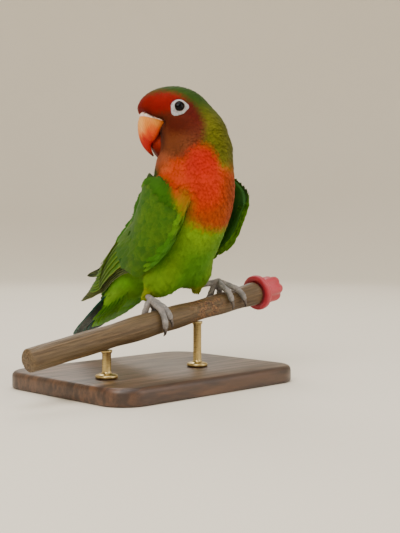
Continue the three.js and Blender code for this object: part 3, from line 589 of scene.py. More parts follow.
def thigh_mass(leg):
    """The thigh's thick part, which runs into the belly."""
    top, ankle = np.array(leg["thigh"], float), np.array(leg["ankle"], float)
    along = unit(ankle - top)
    side = unit(np.cross(along, (1.0, 0, 0)))
    middle = top + (ankle - top) * 0.3
    axes = [along, side, np.cross(along, side)]
    return mass(middle, (THIGH["long"], leg["radius"], leg["radius"]), axes, THIGH["blend"])


COAT_MASSES = MASSES + [thigh_mass(leg) for leg in LEGS.values()]
spine = Curve(SPINE)


def coat_distance(places):
    return body_distance(places, COAT_MASSES)


def skin_distance(places):
    return coat_distance(places) + coat_depth(places)


def skin_rings():
    """The skin as rings of places round the spine, from the tail to the head, with domed ends."""
    caps = np.linspace(0, SKIN["cap_lean"], SKIN["cap_rings"] + 1)[1:]
    stations = [(0.0, -lean) for lean in caps[::-1]]
    stations += [(t, 0.0) for t in np.linspace(0, 1, SKIN["rings"])]
    stations += [(1.0, lean) for lean in caps]
    t, lean = np.array(stations).T
    middle, along = spine.at(t), spine.along(t)
    side = unit(np.array([1.0, 0, 0]) - along * along[:, :1])
    back = np.cross(along, side)
    turn = around(SKIN["sides"])
    flat = np.cos(turn)[None, :, None] * side[:, None] + np.sin(turn)[None, :, None] * back[:, None]
    way = flat * np.cos(lean)[:, None, None] + along[:, None] * np.sin(lean)[:, None, None]
    start = np.broadcast_to(middle[:, None], way.shape)
    return leaving(skin_distance, start.reshape(-1, 3), way.reshape(-1, 3)).reshape(way.shape)


rings = skin_rings()
count, sides = rings.shape[:2]
skin_places = rings.reshape(-1, 3)
steps = np.linalg.norm(np.diff(rings, axis=0), axis=-1).mean(1)
skin_height = np.concatenate([[0], np.cumsum(steps)]) / steps.sum()
SKIN_MAP = (0.12, 1.0)  # from where to where the skin's unwrap reaches


# Markings
# The plumage's colours, and one painted shadow under the right wing's edge, as soft-edged
# patches laid over each other from the tail to the bill.
# Skin and feathers read the same ones, by their place on the body.

GREENS = {"belly": (80, 126, 2), "low": (74, 126, 3), "flank": (96, 134, 3), "back": (46, 98, 2),
          "tail": (104, 174, 7), "hood": (42, 70, 0)}
FACE = [  # name, middle, half sizes, softness, colour; in the head's own directions
    ("brow", (9, 0, 8.5), (13, 30, 8), 0.2, (126, 12, 0)),
    ("brow_bright", (7, 9, 8), (7, 8, 3.6), 0.7, (132, 6, 0)),
    ("brow_bright_far", (7, -9, 8), (7, 8, 3.6), 0.7, (132, 6, 0)),
    ("behind_eye", (-6, 13, 1), (6, 8, 7), 0.6, (84, 12, 0)),
    ("behind_eye_far", (-6, -13, 1), (6, 8, 7), 0.6, (84, 12, 0)),
    ("cheek", (2, 12, -5), (7, 9, 4.5), 0.6, (84, 22, 2)),
    ("cheek_far", (2, -12, -5), (7, 9, 4.5), 0.6, (84, 22, 2)),
    ("cheek_grey", (5, 0, -14), (11, 30, 6), 0.5, (112, 56, 26)),
    ("lore", (9.5, 0, -8), (4, 13, 9), 0.5, (100, 48, 26)),
    ("chin", (8, 0, -20.5), (5, 14, 4), 0.5, (168, 88, 52)),
]
HOOD = ((8, 0, -6), (19.2, 40, 17.8), 0.13)  # outside this the head is green
NAPE_OLIVE = ((0, -18, 79), (17, 12, 19), 0.4, (90, 90, 1))
PATCHES = [  # the same, in the bird's own directions
    ("belly", (0, 8, 25), (60, 60, 40), 0.05, GREENS["belly"]),
    ("back", (0, 41, 57), (30, 30, 30), 0.14, GREENS["back"]),
    ("belly_low", (3, -4, 19), (17, 18, 10), 0.5, GREENS["low"]),
    ("vent", (-3, 42, -2), (24, 34, 20), 0.25, GREENS["tail"]),
    ("vent_streak", (-9, 40, 2), (7, 24, 9), 0.6, (112, 160, 6)),
    ("flank_right", (-17, 4, 22), (9, 22, 16), 0.5, GREENS["flank"]),
    ("flank_left", (17, 2, 24), (9, 20, 15), 0.5, GREENS["flank"]),
    # painted shadow: darker green on the right flank along the folded wing's lower edge, where the wing's
    # shade falls
    ("wing_edge_shadow", (-19.5, -4, 29), (5.5, 15, 11), 0.4, (58, 110, 2)),
    ("breast_light", (-6, -16, 39), (11, 10, 9), 0.6, (106, 144, 3)),
    ("leg_right", (-15, 12.5, 7.5), (5.5, 6, 6), 0.4, (122, 136, 4)),
    ("leg_left", (12.5, 7, 10.5), (5.5, 5.5, 5.5), 0.4, (122, 132, 4)),
    ("bib_edge", (0, -18, 55), (18.4, 16, 15.2), 0.2, (146, 110, 3)),
    ("bib", (0, -18, 55.5), (16.2, 14, 13), 0.17, (174, 52, 0)),
    ("throat", (-14.5, -10, 61), (11, 12.5, 11), 0.2, (182, 54, 1)),
    ("throat_peak", (-7.5, -17.5, 67), (7.5, 9, 11), 0.28, (174, 40, 0)),
    ("bib_low", (0, -18, 46), (13, 12, 6), 0.6, (158, 60, 4)),
    ("breast_gold", (-15.5, -15, 53), (5, 5, 5.5), 0.5, (146, 104, 6)),
    ("bib_deep", (-8, -19, 60), (8, 9, 10), 0.6, (180, 38, 0)),
    ("bib_red", (-9, -18, 70), (6, 8, 6.5), 0.7, (174, 24, 0)),
    ("throat_pale", (-19.5, -2, 69), (3.5, 6, 3.5), 0.6, (190, 84, 36)),
    ("shoulder_right", (-24.5, -1, 53), (7, 14, 17), 0.2, (48, 94, 1)),
    ("shoulder_left", (22.5, -3, 60), (7, 14, 19), 0.2, (48, 94, 1)),
    ("bib_side", (9, -18, 56), (8, 12, 12), 0.6, (142, 56, 4)),
]
WAVER = 6.8  # how far the patches' edges may wander


def patch_turn(axes):
    """Axes as a turn for a mapping node."""
    return Matrix(np.array(axes).T.tolist()).to_euler()


def markings_group():
    """The plumage's colour at a place on the body."""
    tree = bpy.data.node_groups.new("plumage_markings", "ShaderNodeTree")
    for name, way, kind in (("Place", "INPUT", "Vector"), ("Tone", "INPUT", "Float"),
                            ("Color", "OUTPUT", "Color")):
        tree.interface.new_socket(name, in_out=way, socket_type=f"NodeSocket{kind}")
    given = tree.nodes.new("NodeGroupInput").outputs
    ink = Nodes(tree)
    wander = ink.node("ShaderNodeTexNoise", {"noise_dimensions": "4D"}, Vector=given["Place"],
                      W=ink.count("MULTIPLY", given["Tone"], 0.7), Scale=170.0, Detail=3.0, Roughness=0.6)
    centred = ink.vector("SUBTRACT", i0=wander.outputs["Color"], i1=(0.5, 0.5, 0.5))
    moved = ink.vector("ADD", i0=given["Place"], i1=ink.vector("SCALE", i0=centred, Scale=WAVER * MM))

    def within(middle, turn, radii, soft):
        local = ink.node("ShaderNodeMapping", {"vector_type": "TEXTURE"}, Vector=moved, Rotation=tuple(turn),
                         Location=tuple((np.array(middle) + PERCH_MIDDLE) * MM),
                         Scale=tuple(np.array(radii) * MM))
        away = ink.vector("LENGTH", "Value", i0=local.outputs[0])
        return ink.ramp(away, 1 - soft, 1 + soft, 1, 0)

    upright, turned = (0, 0, 0), patch_turn(HEAD_FRAME)
    colour = (92, 32, 8)
    for _, middle, radii, soft, shade in FACE:
        colour = ink.mix(within(in_head(*middle), turned, radii, soft), colour, shade)
    olive = within(NAPE_OLIVE[0], upright, *NAPE_OLIVE[1:3])
    hood = ink.mix(olive, GREENS["hood"], NAPE_OLIVE[3])
    colour = ink.mix(within(in_head(*HOOD[0]), turned, *HOOD[1:]), hood, colour)
    for _, middle, radii, soft, shade in PATCHES:
        colour = ink.mix(within(middle, upright, radii, soft), colour, shade)
    tree.links.new(colour, tree.nodes.new("NodeGroupOutput").inputs["Color"])
    return tree


MARKINGS = markings_group()


def marked(ink, tone=0.0):
    """The markings' colour at a piece's own places; each feather's tone shifts their edges a little."""
    made = ink.node("ShaderNodeGroup", {"node_tree": MARKINGS}, Place=ink.place(), Tone=tone)
    return made.outputs["Color"]


skin_finish = ink = Finish("skin_under_coat", 0.8, Specular_IOR_Level=0.2)
ink.paint(ink.mix(0.2, marked(ink), (30, 30, 14), "MULTIPLY"))
ink.bump(ink.speckle(ink.place(), 900.0), 0.0003, 0.5)


def corner_map(mesh, values):
    """An unwrap from a place for each corner of the mesh's faces."""
    mesh.uv_layers.new(name="OFBake").data.foreach_set("uv", np.asarray(values, np.float32).ravel())


def corner_vertices(mesh):
    index = np.zeros(len(mesh.loops), np.int32)
    mesh.loops.foreach_get("vertex_index", index)
    return index


def skin_map(ring, turn):
    low, high = SKIN_MAP
    return np.stack([turn, low + (high - low) * ring], -1)


skin = mesh_piece("bird_skin", skin_places + PERCH_MIDDLE, tube_faces(count, sides), skin_finish)
index = corner_vertices(skin.data)
turn_share = (index % sides) / sides
corners = np.repeat(np.arange(len(skin.data.polygons)), [p.loop_total for p in skin.data.polygons])
low_turn, high_turn = np.ones(len(skin.data.polygons)), np.zeros(len(skin.data.polygons))
np.minimum.at(low_turn, corners, turn_share)
np.maximum.at(high_turn, corners, turn_share)
wraps = (high_turn - low_turn > 0.5)[corners] & (turn_share < 0.5)
corner_map(skin.data, skin_map(skin_height[index // sides], np.where(wraps, 1.0, turn_share)))


# How the feathers lie
# They point away from the bill over the head and round the eyes, and then down the body to the
# tail. Every place on the skin knows this direction, its own outward one and its feathers' size.

skin_out = slope_of(coat_distance, skin_places)
ring_of = np.arange(len(skin_places)) // sides
station = np.clip((ring_of - SKIN["cap_rings"]) / (SKIN["rings"] - 1), 0, 1)
to_tail = -spine.along(station)
from_bill = unit(skin_places - BILL_ROOT)
off_bill = np.linalg.norm(skin_places - BILL_ROOT, axis=1)
on_head = (1 - eased(17, 33, off_bill))[:, None]
lie = to_tail * (1 - on_head) + from_bill * on_head


def eye_place(side):
    """The eye's place on the head, the way that it looks, and the middle of its ball."""
    way = HEAD_LEFT[None] * side
    place = leaving(body_distance, in_head(EYE["at"][0], 0, EYE["at"][1])[None], way)
    out = slope_of(body_distance, place)
    out = unit(out + (way - out) * 0.4)[0]
    return place[0], out, place[0] + out * (EYE["show"] - EYE["ball"])


off_eye = np.full(len(skin_places), 99.0)
for side in (1, -1):
    place, out, _ = eye_place(side)
    apart = skin_places - place
    flat = apart - (apart @ out)[:, None] * out
    distance = np.linalg.norm(apart, axis=1)
    round_eye = np.exp(-np.maximum(distance - EYE["ring"], 0) / 1.6)[:, None] * (distance < 14)[:, None]
    lie = lie * (1 - 0.75 * round_eye) + unit(flat) * 0.75 * round_eye
    off_eye = np.minimum(off_eye, distance)
lie = unit(lie - (lie * skin_out).sum(1)[:, None] * skin_out)

LENGTHS = {"trunk": 5.6, "neck_less": 1.6, "tail_more": 1.4, "bill": 1.5, "head_more": 1.7, "nape_more": 1.6,
           "growth": 0.14, "head_reach": 24, "head_from": 66}
feather_length = (LENGTHS["trunk"] - LENGTHS["neck_less"] * eased(60, 80, skin_places[:, 2])
                  + LENGTHS["tail_more"] * eased(30, 55, skin_places[:, 1]))
nape, nape_reach, _ = NAPE_SHAPE[0]
off_nape = np.linalg.norm(skin_places - nape, axis=1)
longest = (LENGTHS["bill"] + LENGTHS["head_more"] * eased(8, 26, off_bill)
           + LENGTHS["nape_more"] * np.exp(-((off_nape / nape_reach) ** 2))
           + LENGTHS["growth"] * np.maximum(off_bill - LENGTHS["head_reach"], 0))
on_neck = skin_places[:, 2] > LENGTHS["head_from"]
feather_length = np.where(on_neck, np.minimum(feather_length, longest), feather_length)


# Feathers of the coat
# Each small feather is a thin closed vane with a split, soft tip. Geometry nodes set them close
# over the skin, or in rows over the wings, root sunk in and tip towards the tail.

FORMS = {  # tips, how deep the notches are, half width and camber as shares of the length
    "down": [(5, 0.42, 0.24, 0.05), (7, 0.36, 0.27, 0.06), (6, 0.48, 0.22, 0.05)],
    "covert": [(11, 0.07, 0.3, 0.045), (13, 0.1, 0.32, 0.05), (12, 0.05, 0.29, 0.04)],
}
PATCH = 0.003  # a feather's patch on the unwrap


def give(mesh, name, values):
    """Gives each vertex a number or a vector that nodes can read."""
    values = np.asarray(values, np.float32)
    kind, slot = ("FLOAT_VECTOR", "vector") if values.ndim == 2 else ("FLOAT", "value")
    mesh.attributes.new(name, kind, "POINT").data.foreach_set(slot, values.ravel())


def feather_form(name, tips, notch, half, camber):
    """A feather one metre long from its root at the origin along +Y, with its outer side up."""
    border = [(0.0, 0.0), (half * 0.42, 0.1), (half * 0.85, 0.32)]
    for i in range(2 * tips - 1):
        turn = math.radians(80 - 160 * i / (2 * tips - 2))
        reach = 1 - notch if i % 2 else 1.0
        wide = half * (1.02 + 0.06 * math.sin(i * 2.3))
        border.append((wide * math.sin(turn) * reach, 0.58 + 0.42 * math.cos(turn) * reach))
    border += [(-half * 0.85, 0.32), (-half * 0.42, 0.1)]
    height = lambda x, y: camber * (1 - (x / half) ** 2) + 0.1 * y - 0.22 * y * y
    shaft = (0.02, 0.35, 0.66)
    places = [(x, y, height(x, y) - 0.012) for x, y in border]
    top = len(places)
    bottom = top + len(shaft)
    places += [(0, y, height(0, y) + off) for off in (0.014, -0.03) for y in shaft]

    def nearest_on_shaft(i):
        ahead = (border[i % len(border)][1] + border[(i + 1) % len(border)][1]) / 2
        return 0 if ahead < 0.12 else 1 if ahead < 0.45 else 2

    faces = []
    for i in range(len(border)):
        j = (i + 1) % len(border)
        inner, after = nearest_on_shaft(i), nearest_on_shaft(j)
        faces += [(top + inner, i, j), (bottom + inner, j, i)]
        if after != inner:
            faces += [(top + inner, j, top + after), (bottom + inner, bottom + after, j)]
    mesh = bpy.data.meshes.new(name)
    mesh.from_pydata(places, [], faces)
    give(mesh, "patch", [(x / half / 2, y - 0.5, 0) for x, y, _ in places])
    return bpy.data.objects.new(name, mesh)


def form_collection(kind):
    holder = bpy.data.collections.new(f"forms_{kind}")
    for i, sizes in enumerate(FORMS[kind]):
        holder.objects.link(feather_form(f"form_{kind}_{i}", *sizes))
    return holder


def coat_tree():
    """Feathers set over a surface that knows their lie, outward way, size and cover."""
    tree = bpy.data.node_groups.new("feather_coat", "GeometryNodeTree")
    tree.is_modifier = True
    sockets = {"Geometry": "Geometry", "Forms": "Collection", "Rows": "Bool", "Spacing": "Float",
               "Cover": "String", "Width": "Float", "Lift": "Float", "Stray": "Float", "Seed": "Int",
               "Finish": "Material"}
    for name, kind in sockets.items():
        tree.interface.new_socket(name, in_out="INPUT", socket_type=f"NodeSocket{kind}")
    tree.interface.new_socket("Geometry", in_out="OUTPUT", socket_type="NodeSocketGeometry")
    given = tree.nodes.new("NodeGroupInput").outputs
    made = Nodes(tree)

    def known(name, kind="FLOAT_VECTOR"):
        return made.node("GeometryNodeInputNamedAttribute", {"data_type": kind},
                         Name=name).outputs["Attribute"]

    def chance(low, high, seed):
        return made.node("FunctionNodeRandomValue", {"data_type": "FLOAT"}, i2=low, i3=high,
                         i8=made.count("ADD", given["Seed"], seed)).outputs[1]

    spacing, stray = given["Spacing"], given["Stray"]
    full = made.count("DIVIDE", 3.0, made.count("MULTIPLY", spacing, spacing))
    scattered = made.node("GeometryNodeDistributePointsOnFaces", {"distribute_method": "POISSON"},
                          Mesh=given["Geometry"], Distance_Min=spacing, Density_Max=full,
                          Density_Factor=known(given["Cover"], "FLOAT"), Seed=given["Seed"]).outputs["Points"]
    in_rows = made.node("GeometryNodeMeshToPoints", None, Mesh=given["Geometry"]).outputs[0]
    roots = made.node("GeometryNodeSwitch", {"input_type": "GEOMETRY"}, Switch=given["Rows"],
                      **{"False": scattered, "True": in_rows}).outputs[0]
    toned = made.node("GeometryNodeStoreNamedAttribute", {"data_type": "FLOAT", "domain": "POINT"},
                      Geometry=roots, Name="tone", Value=chance(0.0, 1.0, 11)).outputs[0]
    facing = made.node("FunctionNodeAxesToRotation", {"primary_axis": "Z", "secondary_axis": "Y"},
                       Primary_Axis=known("out"), Secondary_Axis=known("lie")).outputs[0]
    tip_up = made.count("ADD", given["Lift"], made.count("MULTIPLY", chance(-0.5, 0.5, 23), stray))
    turn = made.node("ShaderNodeCombineXYZ", X=tip_up, Y=made.count("MULTIPLY", chance(-0.8, 0.8, 31), stray),
                     Z=made.count("MULTIPLY", chance(-1.0, 1.0, 47), stray)).outputs[0]
    turn = made.node("FunctionNodeEulerToRotation", None, Euler=turn).outputs[0]
    facing = made.node("FunctionNodeRotateRotation", {"rotation_space": "LOCAL"}, Rotation=facing,
                       Rotate_By=turn).outputs[0]
    long = made.count("MULTIPLY", known("size", "FLOAT"), chance(0.86, 1.14, 59))
    scale = made.node("ShaderNodeCombineXYZ", X=made.count("MULTIPLY", long, given["Width"]), Y=long,
                      Z=long).outputs[0]
    forms = made.node("GeometryNodeCollectionInfo", None, Collection=given["Forms"], Separate_Children=True,
                      Reset_Children=True).outputs[0]
    pick = made.node("FunctionNodeRandomValue", {"data_type": "INT"}, i4=0, i5=2, i8=given["Seed"]).outputs[2]
    placed = made.node("GeometryNodeInstanceOnPoints", None, Points=toned, Instance=forms, Pick_Instance=True,
                       Instance_Index=pick, Rotation=facing, Scale=scale).outputs[0]
    real = made.node("GeometryNodeRealizeInstances", None, Geometry=placed).outputs[0]
    done = made.node("GeometryNodeSetMaterial", None, Geometry=real, Material=given["Finish"]).outputs[0]
    tree.links.new(done, tree.nodes.new("NodeGroupOutput").inputs["Geometry"])
    return tree


COAT_TREE = coat_tree()
SOFT_FORMS = form_collection("down")
COVERT_FORMS = form_collection("covert")


def ground_mesh(name, places, faces, fields):
    """A surface or row of roots for feathers, with what each place knows."""
    made = bare_mesh(name, places, faces)
    for key, values in fields.items():
        give(made.data, key, values)
    return made


def vectors_of(mesh, name):
    values = np.zeros(len(mesh.vertices) * 3, np.float32)
    mesh.attributes[name].data.foreach_get("vector", values)
    return values.reshape(-1, 3)


def feathered(name, ground, ink, **inputs):
    """The feathers of one part of the coat as a plain mesh."""
    modifier = ground.modifiers.new("coat", "NODES")
    modifier.node_group = COAT_TREE
    inputs = {"Forms": SOFT_FORMS, "Rows": False, "Spacing": 1.0, "Cover": "cover", "Width": 1.0, "Lift": 0.2,
              "Stray": 0.3, "Seed": 1, "Finish": ink.material} | inputs
    inputs["Spacing"] *= MM * 1
    for socket in COAT_TREE.interface.items_tree:
        if socket.in_out == "INPUT" and socket.name in inputs:
            modifier[socket.identifier] = inputs[socket.name]
    bpy.context.view_layer.update()
    depsgraph = bpy.context.evaluated_depsgraph_get()
    mesh = bpy.data.meshes.new_from_object(ground.evaluated_get(depsgraph), preserve_all_data_layers=True,
                                           depsgraph=depsgraph)
    ground.modifiers.remove(modifier)
    mesh.name = name
    spread = vectors_of(mesh, "root_map")[:, :2] + vectors_of(mesh, "patch")[:, :2] * PATCH
    corner_map(mesh, spread[corner_vertices(mesh)])
    for known in [a.name for a in mesh.attributes]:
        if known.startswith(("root_map", "lie", "size", "cover")):
            mesh.attributes.remove(mesh.attributes[known])
    made = bpy.data.objects.new(name, mesh)
    bpy.context.scene.collection.objects.link(made)
    return made


def feather_normal(ink, share):
    """Turns the shading of each feather towards the body's own outward way, which softens the coat."""
    own = ink.node("ShaderNodeNewGeometry").outputs["Normal"]
    out = ink.known("out")
    agree = ink.vector("DOT_PRODUCT", "Value", i0=own, i1=out)
    both = ink.node("ShaderNodeMix", {"data_type": "VECTOR"}, i0=ink.ramp(agree, -0.1, 0.5, 0, share), i4=own,
                    i5=out)
    ink.tree.links.new(ink.vector("NORMALIZE", i0=both.outputs[1]), ink.shader["Normal"])


plumage = ink = Finish("soft_plumage", 0.7, Specular_IOR_Level=0.12, Sheen_Weight=0.04, Sheen_Roughness=0.5)
tone = ink.known("tone", "Fac")
lightness = ink.count("ADD", ink.ramp(tone, 0, 1, 0.91, 1.0),
                      ink.ramp(ink.parts(ink.known("patch"))[1], -0.5, 0.5, -0.08, 0.03))
dapple = ink.ramp(ink.speckle(ink.place(), 160.0, 3.0), 0.3, 0.7, 0.9, 1.06)
ink.paint(ink.mix(1.0, marked(ink, tone), ink.count("MULTIPLY", lightness, dapple), "MULTIPLY"))
feather_normal(ink, 0.86)


# Wings
# The folded wings lie on the body. Each has rows of small round green coverts over a pad, long
# secondaries with fine barbs and yellowish edges, and narrow dark primaries with pale edges.

WING_LOWER = Curve([(-16, -17, 51.5), (-17.6, -8, 34), (-17.6, 8, 22.5), (-14, 28, 16.8), (-10, 55, 8.2),
                    (-7, 75, 3.6)])
WING_BACK = Curve([(-18.5, -1, 63.5), (-9.5, 15.5, 60.5), (-4.5, 31, 47.5), (-4.5, 50, 27.5), (-5, 65, 13.5),
                   (-6.4, 77, 4.2)])
WING = {"bulge": 3.6, "clear": (1, 2.9), "raise": 7.5, "open": 5, "grid": (130, 70),
        "span": (-0.06, 1.12, -0.08, 1.08)}


def wing_places(p, q):
    """The wing's middle surface: p from the bend to the tip, q from the lower edge to the back."""
    t = np.clip(p, 0, 1)
    low, high, run = WING_LOWER.at(t), WING_BACK.at(t), WING_LOWER.along(t)
    out = unit(np.cross(high - low, run))
    flat = low + (high - low) * q[:, None]
    rest = WING["clear"][0] + (WING["clear"][1] - WING["clear"][0]) * eased(0.3, 0.55, t)
    near, far = np.zeros(len(p)), np.full(len(p), 14.0)
    for _ in range(13):
        middle = (near + far) / 2
        inside = body_distance(flat + out * middle[:, None]) < rest
        near, far = np.where(inside, middle, near), np.where(inside, far, middle)
    bulge = np.hypot(near, 4 * q * (1 - q) * WING["bulge"] * (1 - t) ** 0.8)
    return flat + out * bulge[:, None] + run * ((p - t) * 100)[:, None]


class Sheet:
    """A surface kept as a grid of places and read between them, with the way out of it."""

    def __init__(self, surface, span, counts):
        self.span, self.counts = span, counts
        p = np.linspace(span[0], span[1], counts[0])
        q = np.linspace(span[2], span[3], counts[1])
        self.places = surface(np.repeat(p, counts[1]), np.tile(q, counts[0])).reshape(*counts, 3)
        along, across = np.gradient(self.places, axis=(0, 1))
        self.outs = unit(np.cross(across, along))

    def read(self, p, q):
        low_p, high_p, low_q, high_q = self.span
        a = np.clip((np.asarray(p, float) - low_p) / (high_p - low_p), 0, 1) * (self.counts[0] - 1)
        b = np.clip((np.asarray(q, float) - low_q) / (high_q - low_q), 0, 1) * (self.counts[1] - 1)
        i = np.minimum(a.astype(int), self.counts[0] - 2)
        j = np.minimum(b.astype(int), self.counts[1] - 2)
        u, v = (a - i)[..., None], (b - j)[..., None]
        blend = lambda g: (g[i, j] * (1 - u) * (1 - v) + g[i + 1, j] * u * (1 - v)
                           + g[i, j + 1] * (1 - u) * v + g[i + 1, j + 1] * u * v)
        return blend(self.places), unit(blend(self.outs))


wing_sheet = Sheet(wing_places, WING["span"], WING["grid"])


def to_left_wing(places, directions=False):
    """Where a place of the right wing comes on the left one, which is held open and higher."""
    flip = np.array([-1.0, 1, 1])
    made = np.asarray(places, float) * flip
    bend, tip = WING_LOWER.places[0] * flip, WING_LOWER.places[-1] * flip
    for pivot, axis, degrees in ((tip, (0, 0, 1), WING["open"]), (bend, (1, 0, 0), WING["raise"])):
        middle = 0 if directions else pivot
        made = turned_about(made - middle, axis, degrees) + middle
    return made


NARROW_ROOT = 0.6  # a long feather's width at its root, as a share of its full width
WING_SIDES = (("right", lambda v, directions=False: v, False), ("left", to_left_wing, True))


def plate_faces(rows, columns, start=0):
    """Faces of a closed plate whose upper and then lower places are listed row by row."""
    grid = lambda i, j, under: start + (rows * columns if under else 0) + i * columns + j
    faces = []
    for i in range(rows - 1):
        for j in range(columns - 1):
            faces.append((grid(i, j, 0), grid(i + 1, j, 0), grid(i + 1, j + 1, 0), grid(i, j + 1, 0)))
            faces.append((grid(i, j, 1), grid(i, j + 1, 1), grid(i + 1, j + 1, 1), grid(i + 1, j, 1)))
    rim = [(i, 0) for i in range(rows)] + [(rows - 1, j) for j in range(1, columns)]
    rim += [(i, columns - 1) for i in range(rows - 2, -1, -1)] + [(0, j) for j in range(columns - 2, 0, -1)]
    return faces + [(grid(*a, 0), grid(*a, 1), grid(*b, 1), grid(*b, 0))
                    for a, b in zip(rim, rim[1:] + rim[:1])]


def plate_piece(name, places, faces, corners, ink, flipped):
    piece = mesh_piece(name, places + PERCH_MIDDLE, [f[::-1] for f in faces] if flipped else faces, ink)
    corner_map(piece.data, corners[corner_vertices(piece.data)])
    return piece


class Vanes:
    """Long feathers gathered into one mesh, each with its own place across and along it."""

    def __init__(self):
        self.places, self.faces, self.corners, self.fields = [], [], [], []
        self.count = 0

    def add(self, sheet, root, tip, half, lift, tilt, thick, blunt, camber, bow, long=44, wide=10, tone=0.5,
            cell=(0, 0, 1, 1), droop=0.0, leading=0.5):
        """root and tip are places on the sheet, half is half the width, and lift is the height over the
        sheet at the root and tip. tilt lifts one edge, blunt is where the tip begins to round off, and
        camber bends both edges down. bow bends the feather sideways by so many millimetres, long and
        wide count its cells, and leading is the share of the width on the left of its shaft."""
        s = np.linspace(0, 1, long + 1)[:, None]
        w = np.linspace(-1, 1, wide + 1)[None]
        t = 1 - (1 - s) ** 1.5
        read = lambda t: sheet.read(root[0] + (tip[0] - root[0]) * t, root[1] + (tip[1] - root[1]) * t)
        here, out = read(t)
        ahead = unit(read(np.minimum(t + 0.02, 1.02))[0] - read(t - 0.02)[0])
        across = unit(np.cross(out, ahead))
        widening = NARROW_ROOT + (1 - NARROW_ROOT) * eased(0, 0.45, t)
        rounding = np.sqrt(np.maximum(1 - np.clip((t - blunt) / (1 - blunt), 0, 1) ** 2, 0.004))
        side = np.where(w < 0, 2 * (1 - leading), 2 * leading)
        reach = half * widening * rounding * w * side
        wobble = 0.12 * np.sin(t * 37 + tone * 50) * np.abs(w) ** 3 * np.minimum(t * 3, 1)
        middle = (lift[0] + (lift[1] - lift[0]) * t + tilt * w * widening - camber * reach**2 / half
                  - droop * t**3)
        depth = thick * (1 - 0.7 * w**2) * (1 - 0.55 * t)
        rib = 0.1 * thick * np.exp(-(w / 0.06) ** 2)
        base = here + across * (reach + wobble + bow * np.sin(t * math.pi))[..., None]
        upper = base + out * (middle + depth / 2 + rib)[..., None]
        lower = base + out * (middle - depth / 2)[..., None]
        rows, columns = long + 1, wide + 1
        self.places += [upper.reshape(-1, 3), lower.reshape(-1, 3)]
        self.faces += plate_faces(rows, columns, self.count)
        across_share, along_share = np.broadcast_to(w, (rows, columns)), np.broadcast_to(t, (rows, columns))
        local = np.stack([across_share / 2, along_share - 0.5, np.full_like(along_share, tone)],
                         -1).reshape(-1, 3)
        self.fields += [local, local]
        x, y, size_x, size_y = cell
        flat = np.stack([x + size_x * (0.03 + 0.44 * (across_share / 2 + 0.5)),
                         y + size_y * (0.03 + 0.94 * along_share)], -1).reshape(-1, 2)
        self.corners += [flat, flat + (size_x * 0.5, 0)]
        self.count += 2 * rows * columns

    def made(self, name, ink, place=lambda v: v, flipped=False):
        piece = plate_piece(name, place(np.concatenate(self.places)), self.faces,
                            np.concatenate(self.corners), ink, flipped)
        give(piece.data, "patch", np.concatenate(self.fields))
        return piece


def barbs(ink, patch, tone, spread=1.0):
    """Fine and broad lines that run out and forward from a feather's shaft, and the place across and
    along the feather."""
    out, along, _ = ink.parts(patch)
    lean = ink.count("SUBTRACT", along, ink.count("MULTIPLY", ink.count("ABSOLUTE", out), 0.16 * spread))
    across = ink.node("ShaderNodeCombineXYZ", X=ink.count("MULTIPLY", lean, 110.0),
                      Y=ink.count("MULTIPLY", out, 3.0), Z=ink.count("MULTIPLY", tone, 40.0)).outputs[0]
    broad = ink.vector("MULTIPLY", i0=across, i1=(0.14, 0.5, 1.0))
    return ink.speckle(across, 1.0, 2.0, 0.5), ink.speckle(broad, 1.0, 2.0, 0.6), out, along


def vane_finish(name, inner, edge, dark, edge_at, dark_share, roughness=0.5):
    """A long feather's finish: a coloured web, a paler outer edge and a dark inner web and shaft."""
    ink = Finish(name, roughness, Specular_IOR_Level=0.2, Sheen_Weight=0.02)
    patch = ink.known("patch")
    tone = ink.parts(patch)[2]
    fine, broad, out, along = barbs(ink, patch, tone)
    colour = ink.mix(ink.ramp(along, -0.35, 0.5, 0, dark_share), inner, dark)
    colour = ink.mix(ink.ramp(broad, 0.4, 0.68, 0, 0.35), colour, edge)
    colour = ink.mix(ink.ramp(out, edge_at, edge_at + 0.13), colour, edge)
    colour = ink.mix(ink.ramp(out, -0.5, -0.3, 0.75, 0), colour, dark)
    colour = ink.mix(ink.ramp(ink.count("ABSOLUTE", out), 0.012, 0.035, 0.8, 0), colour, dark)
    lightness = ink.count("MULTIPLY", ink.ramp(fine, 0.3, 0.7, 0.74, 1.16), ink.ramp(tone, 0, 1, 0.88, 1.12))
    ink.paint(ink.mix(1.0, colour, lightness, "MULTIPLY"),
              ink.ramp(fine, 0.3, 0.7, roughness + 0.12, roughness - 0.08))
    ink.bump(fine, 0.00012, 0.55)
    return ink


secondary_finish = vane_finish("secondary_vane", (50, 100, 2), (104, 130, 10), (24, 56, 3), 0.34, 0.3)
primary_finish = vane_finish("primary_vane", (42, 66, 14), (118, 126, 54), (18, 22, 14), 0.38, 0.6)


def wing_vanes():
    """Secondaries and primaries of the right wing."""
    secondaries, primaries = Vanes(), Vanes()
    for i in range(9):
        share, jog = i / 8, math.sin(i * 4.1)
        root, tip = (0.42, 0.22 + 0.74 * share), (0.865 - 0.15 * share + 0.006 * jog, 0.27 + 0.61 * share)
        secondaries.add(wing_sheet, root, tip, 3.5 - 0.2 * share, (0.1 + 0.1 * i, 0.45 + 0.27 * i), tilt=0.42,
                        thick=0.42, blunt=0.72, camber=0.05, bow=0.3, tone=0.5 + 0.4 * jog,
                        cell=(0.11 * i, 0.0, 0.11, 1.0), leading=0.42)
    for i in range(8):
        share, jog = i / 7, math.sin(i * 2.7 + 1)
        root, tip = (0.46, 0.03 + 0.24 * share), (1.01 - 0.15 * share, 0.26 + 0.5 * share)
        primaries.add(wing_sheet, root, tip, 2.1 + 0.5 * share, (-1.9 + 0.1 * i, -2.6 + 0.32 * i), tilt=0.34,
                      thick=0.4, blunt=0.8, camber=0.05, bow=0.4, tone=0.5 + 0.4 * jog,
                      cell=(0.125 * i, 0.0, 0.125, 1.0), leading=0.4)
    return secondaries, primaries


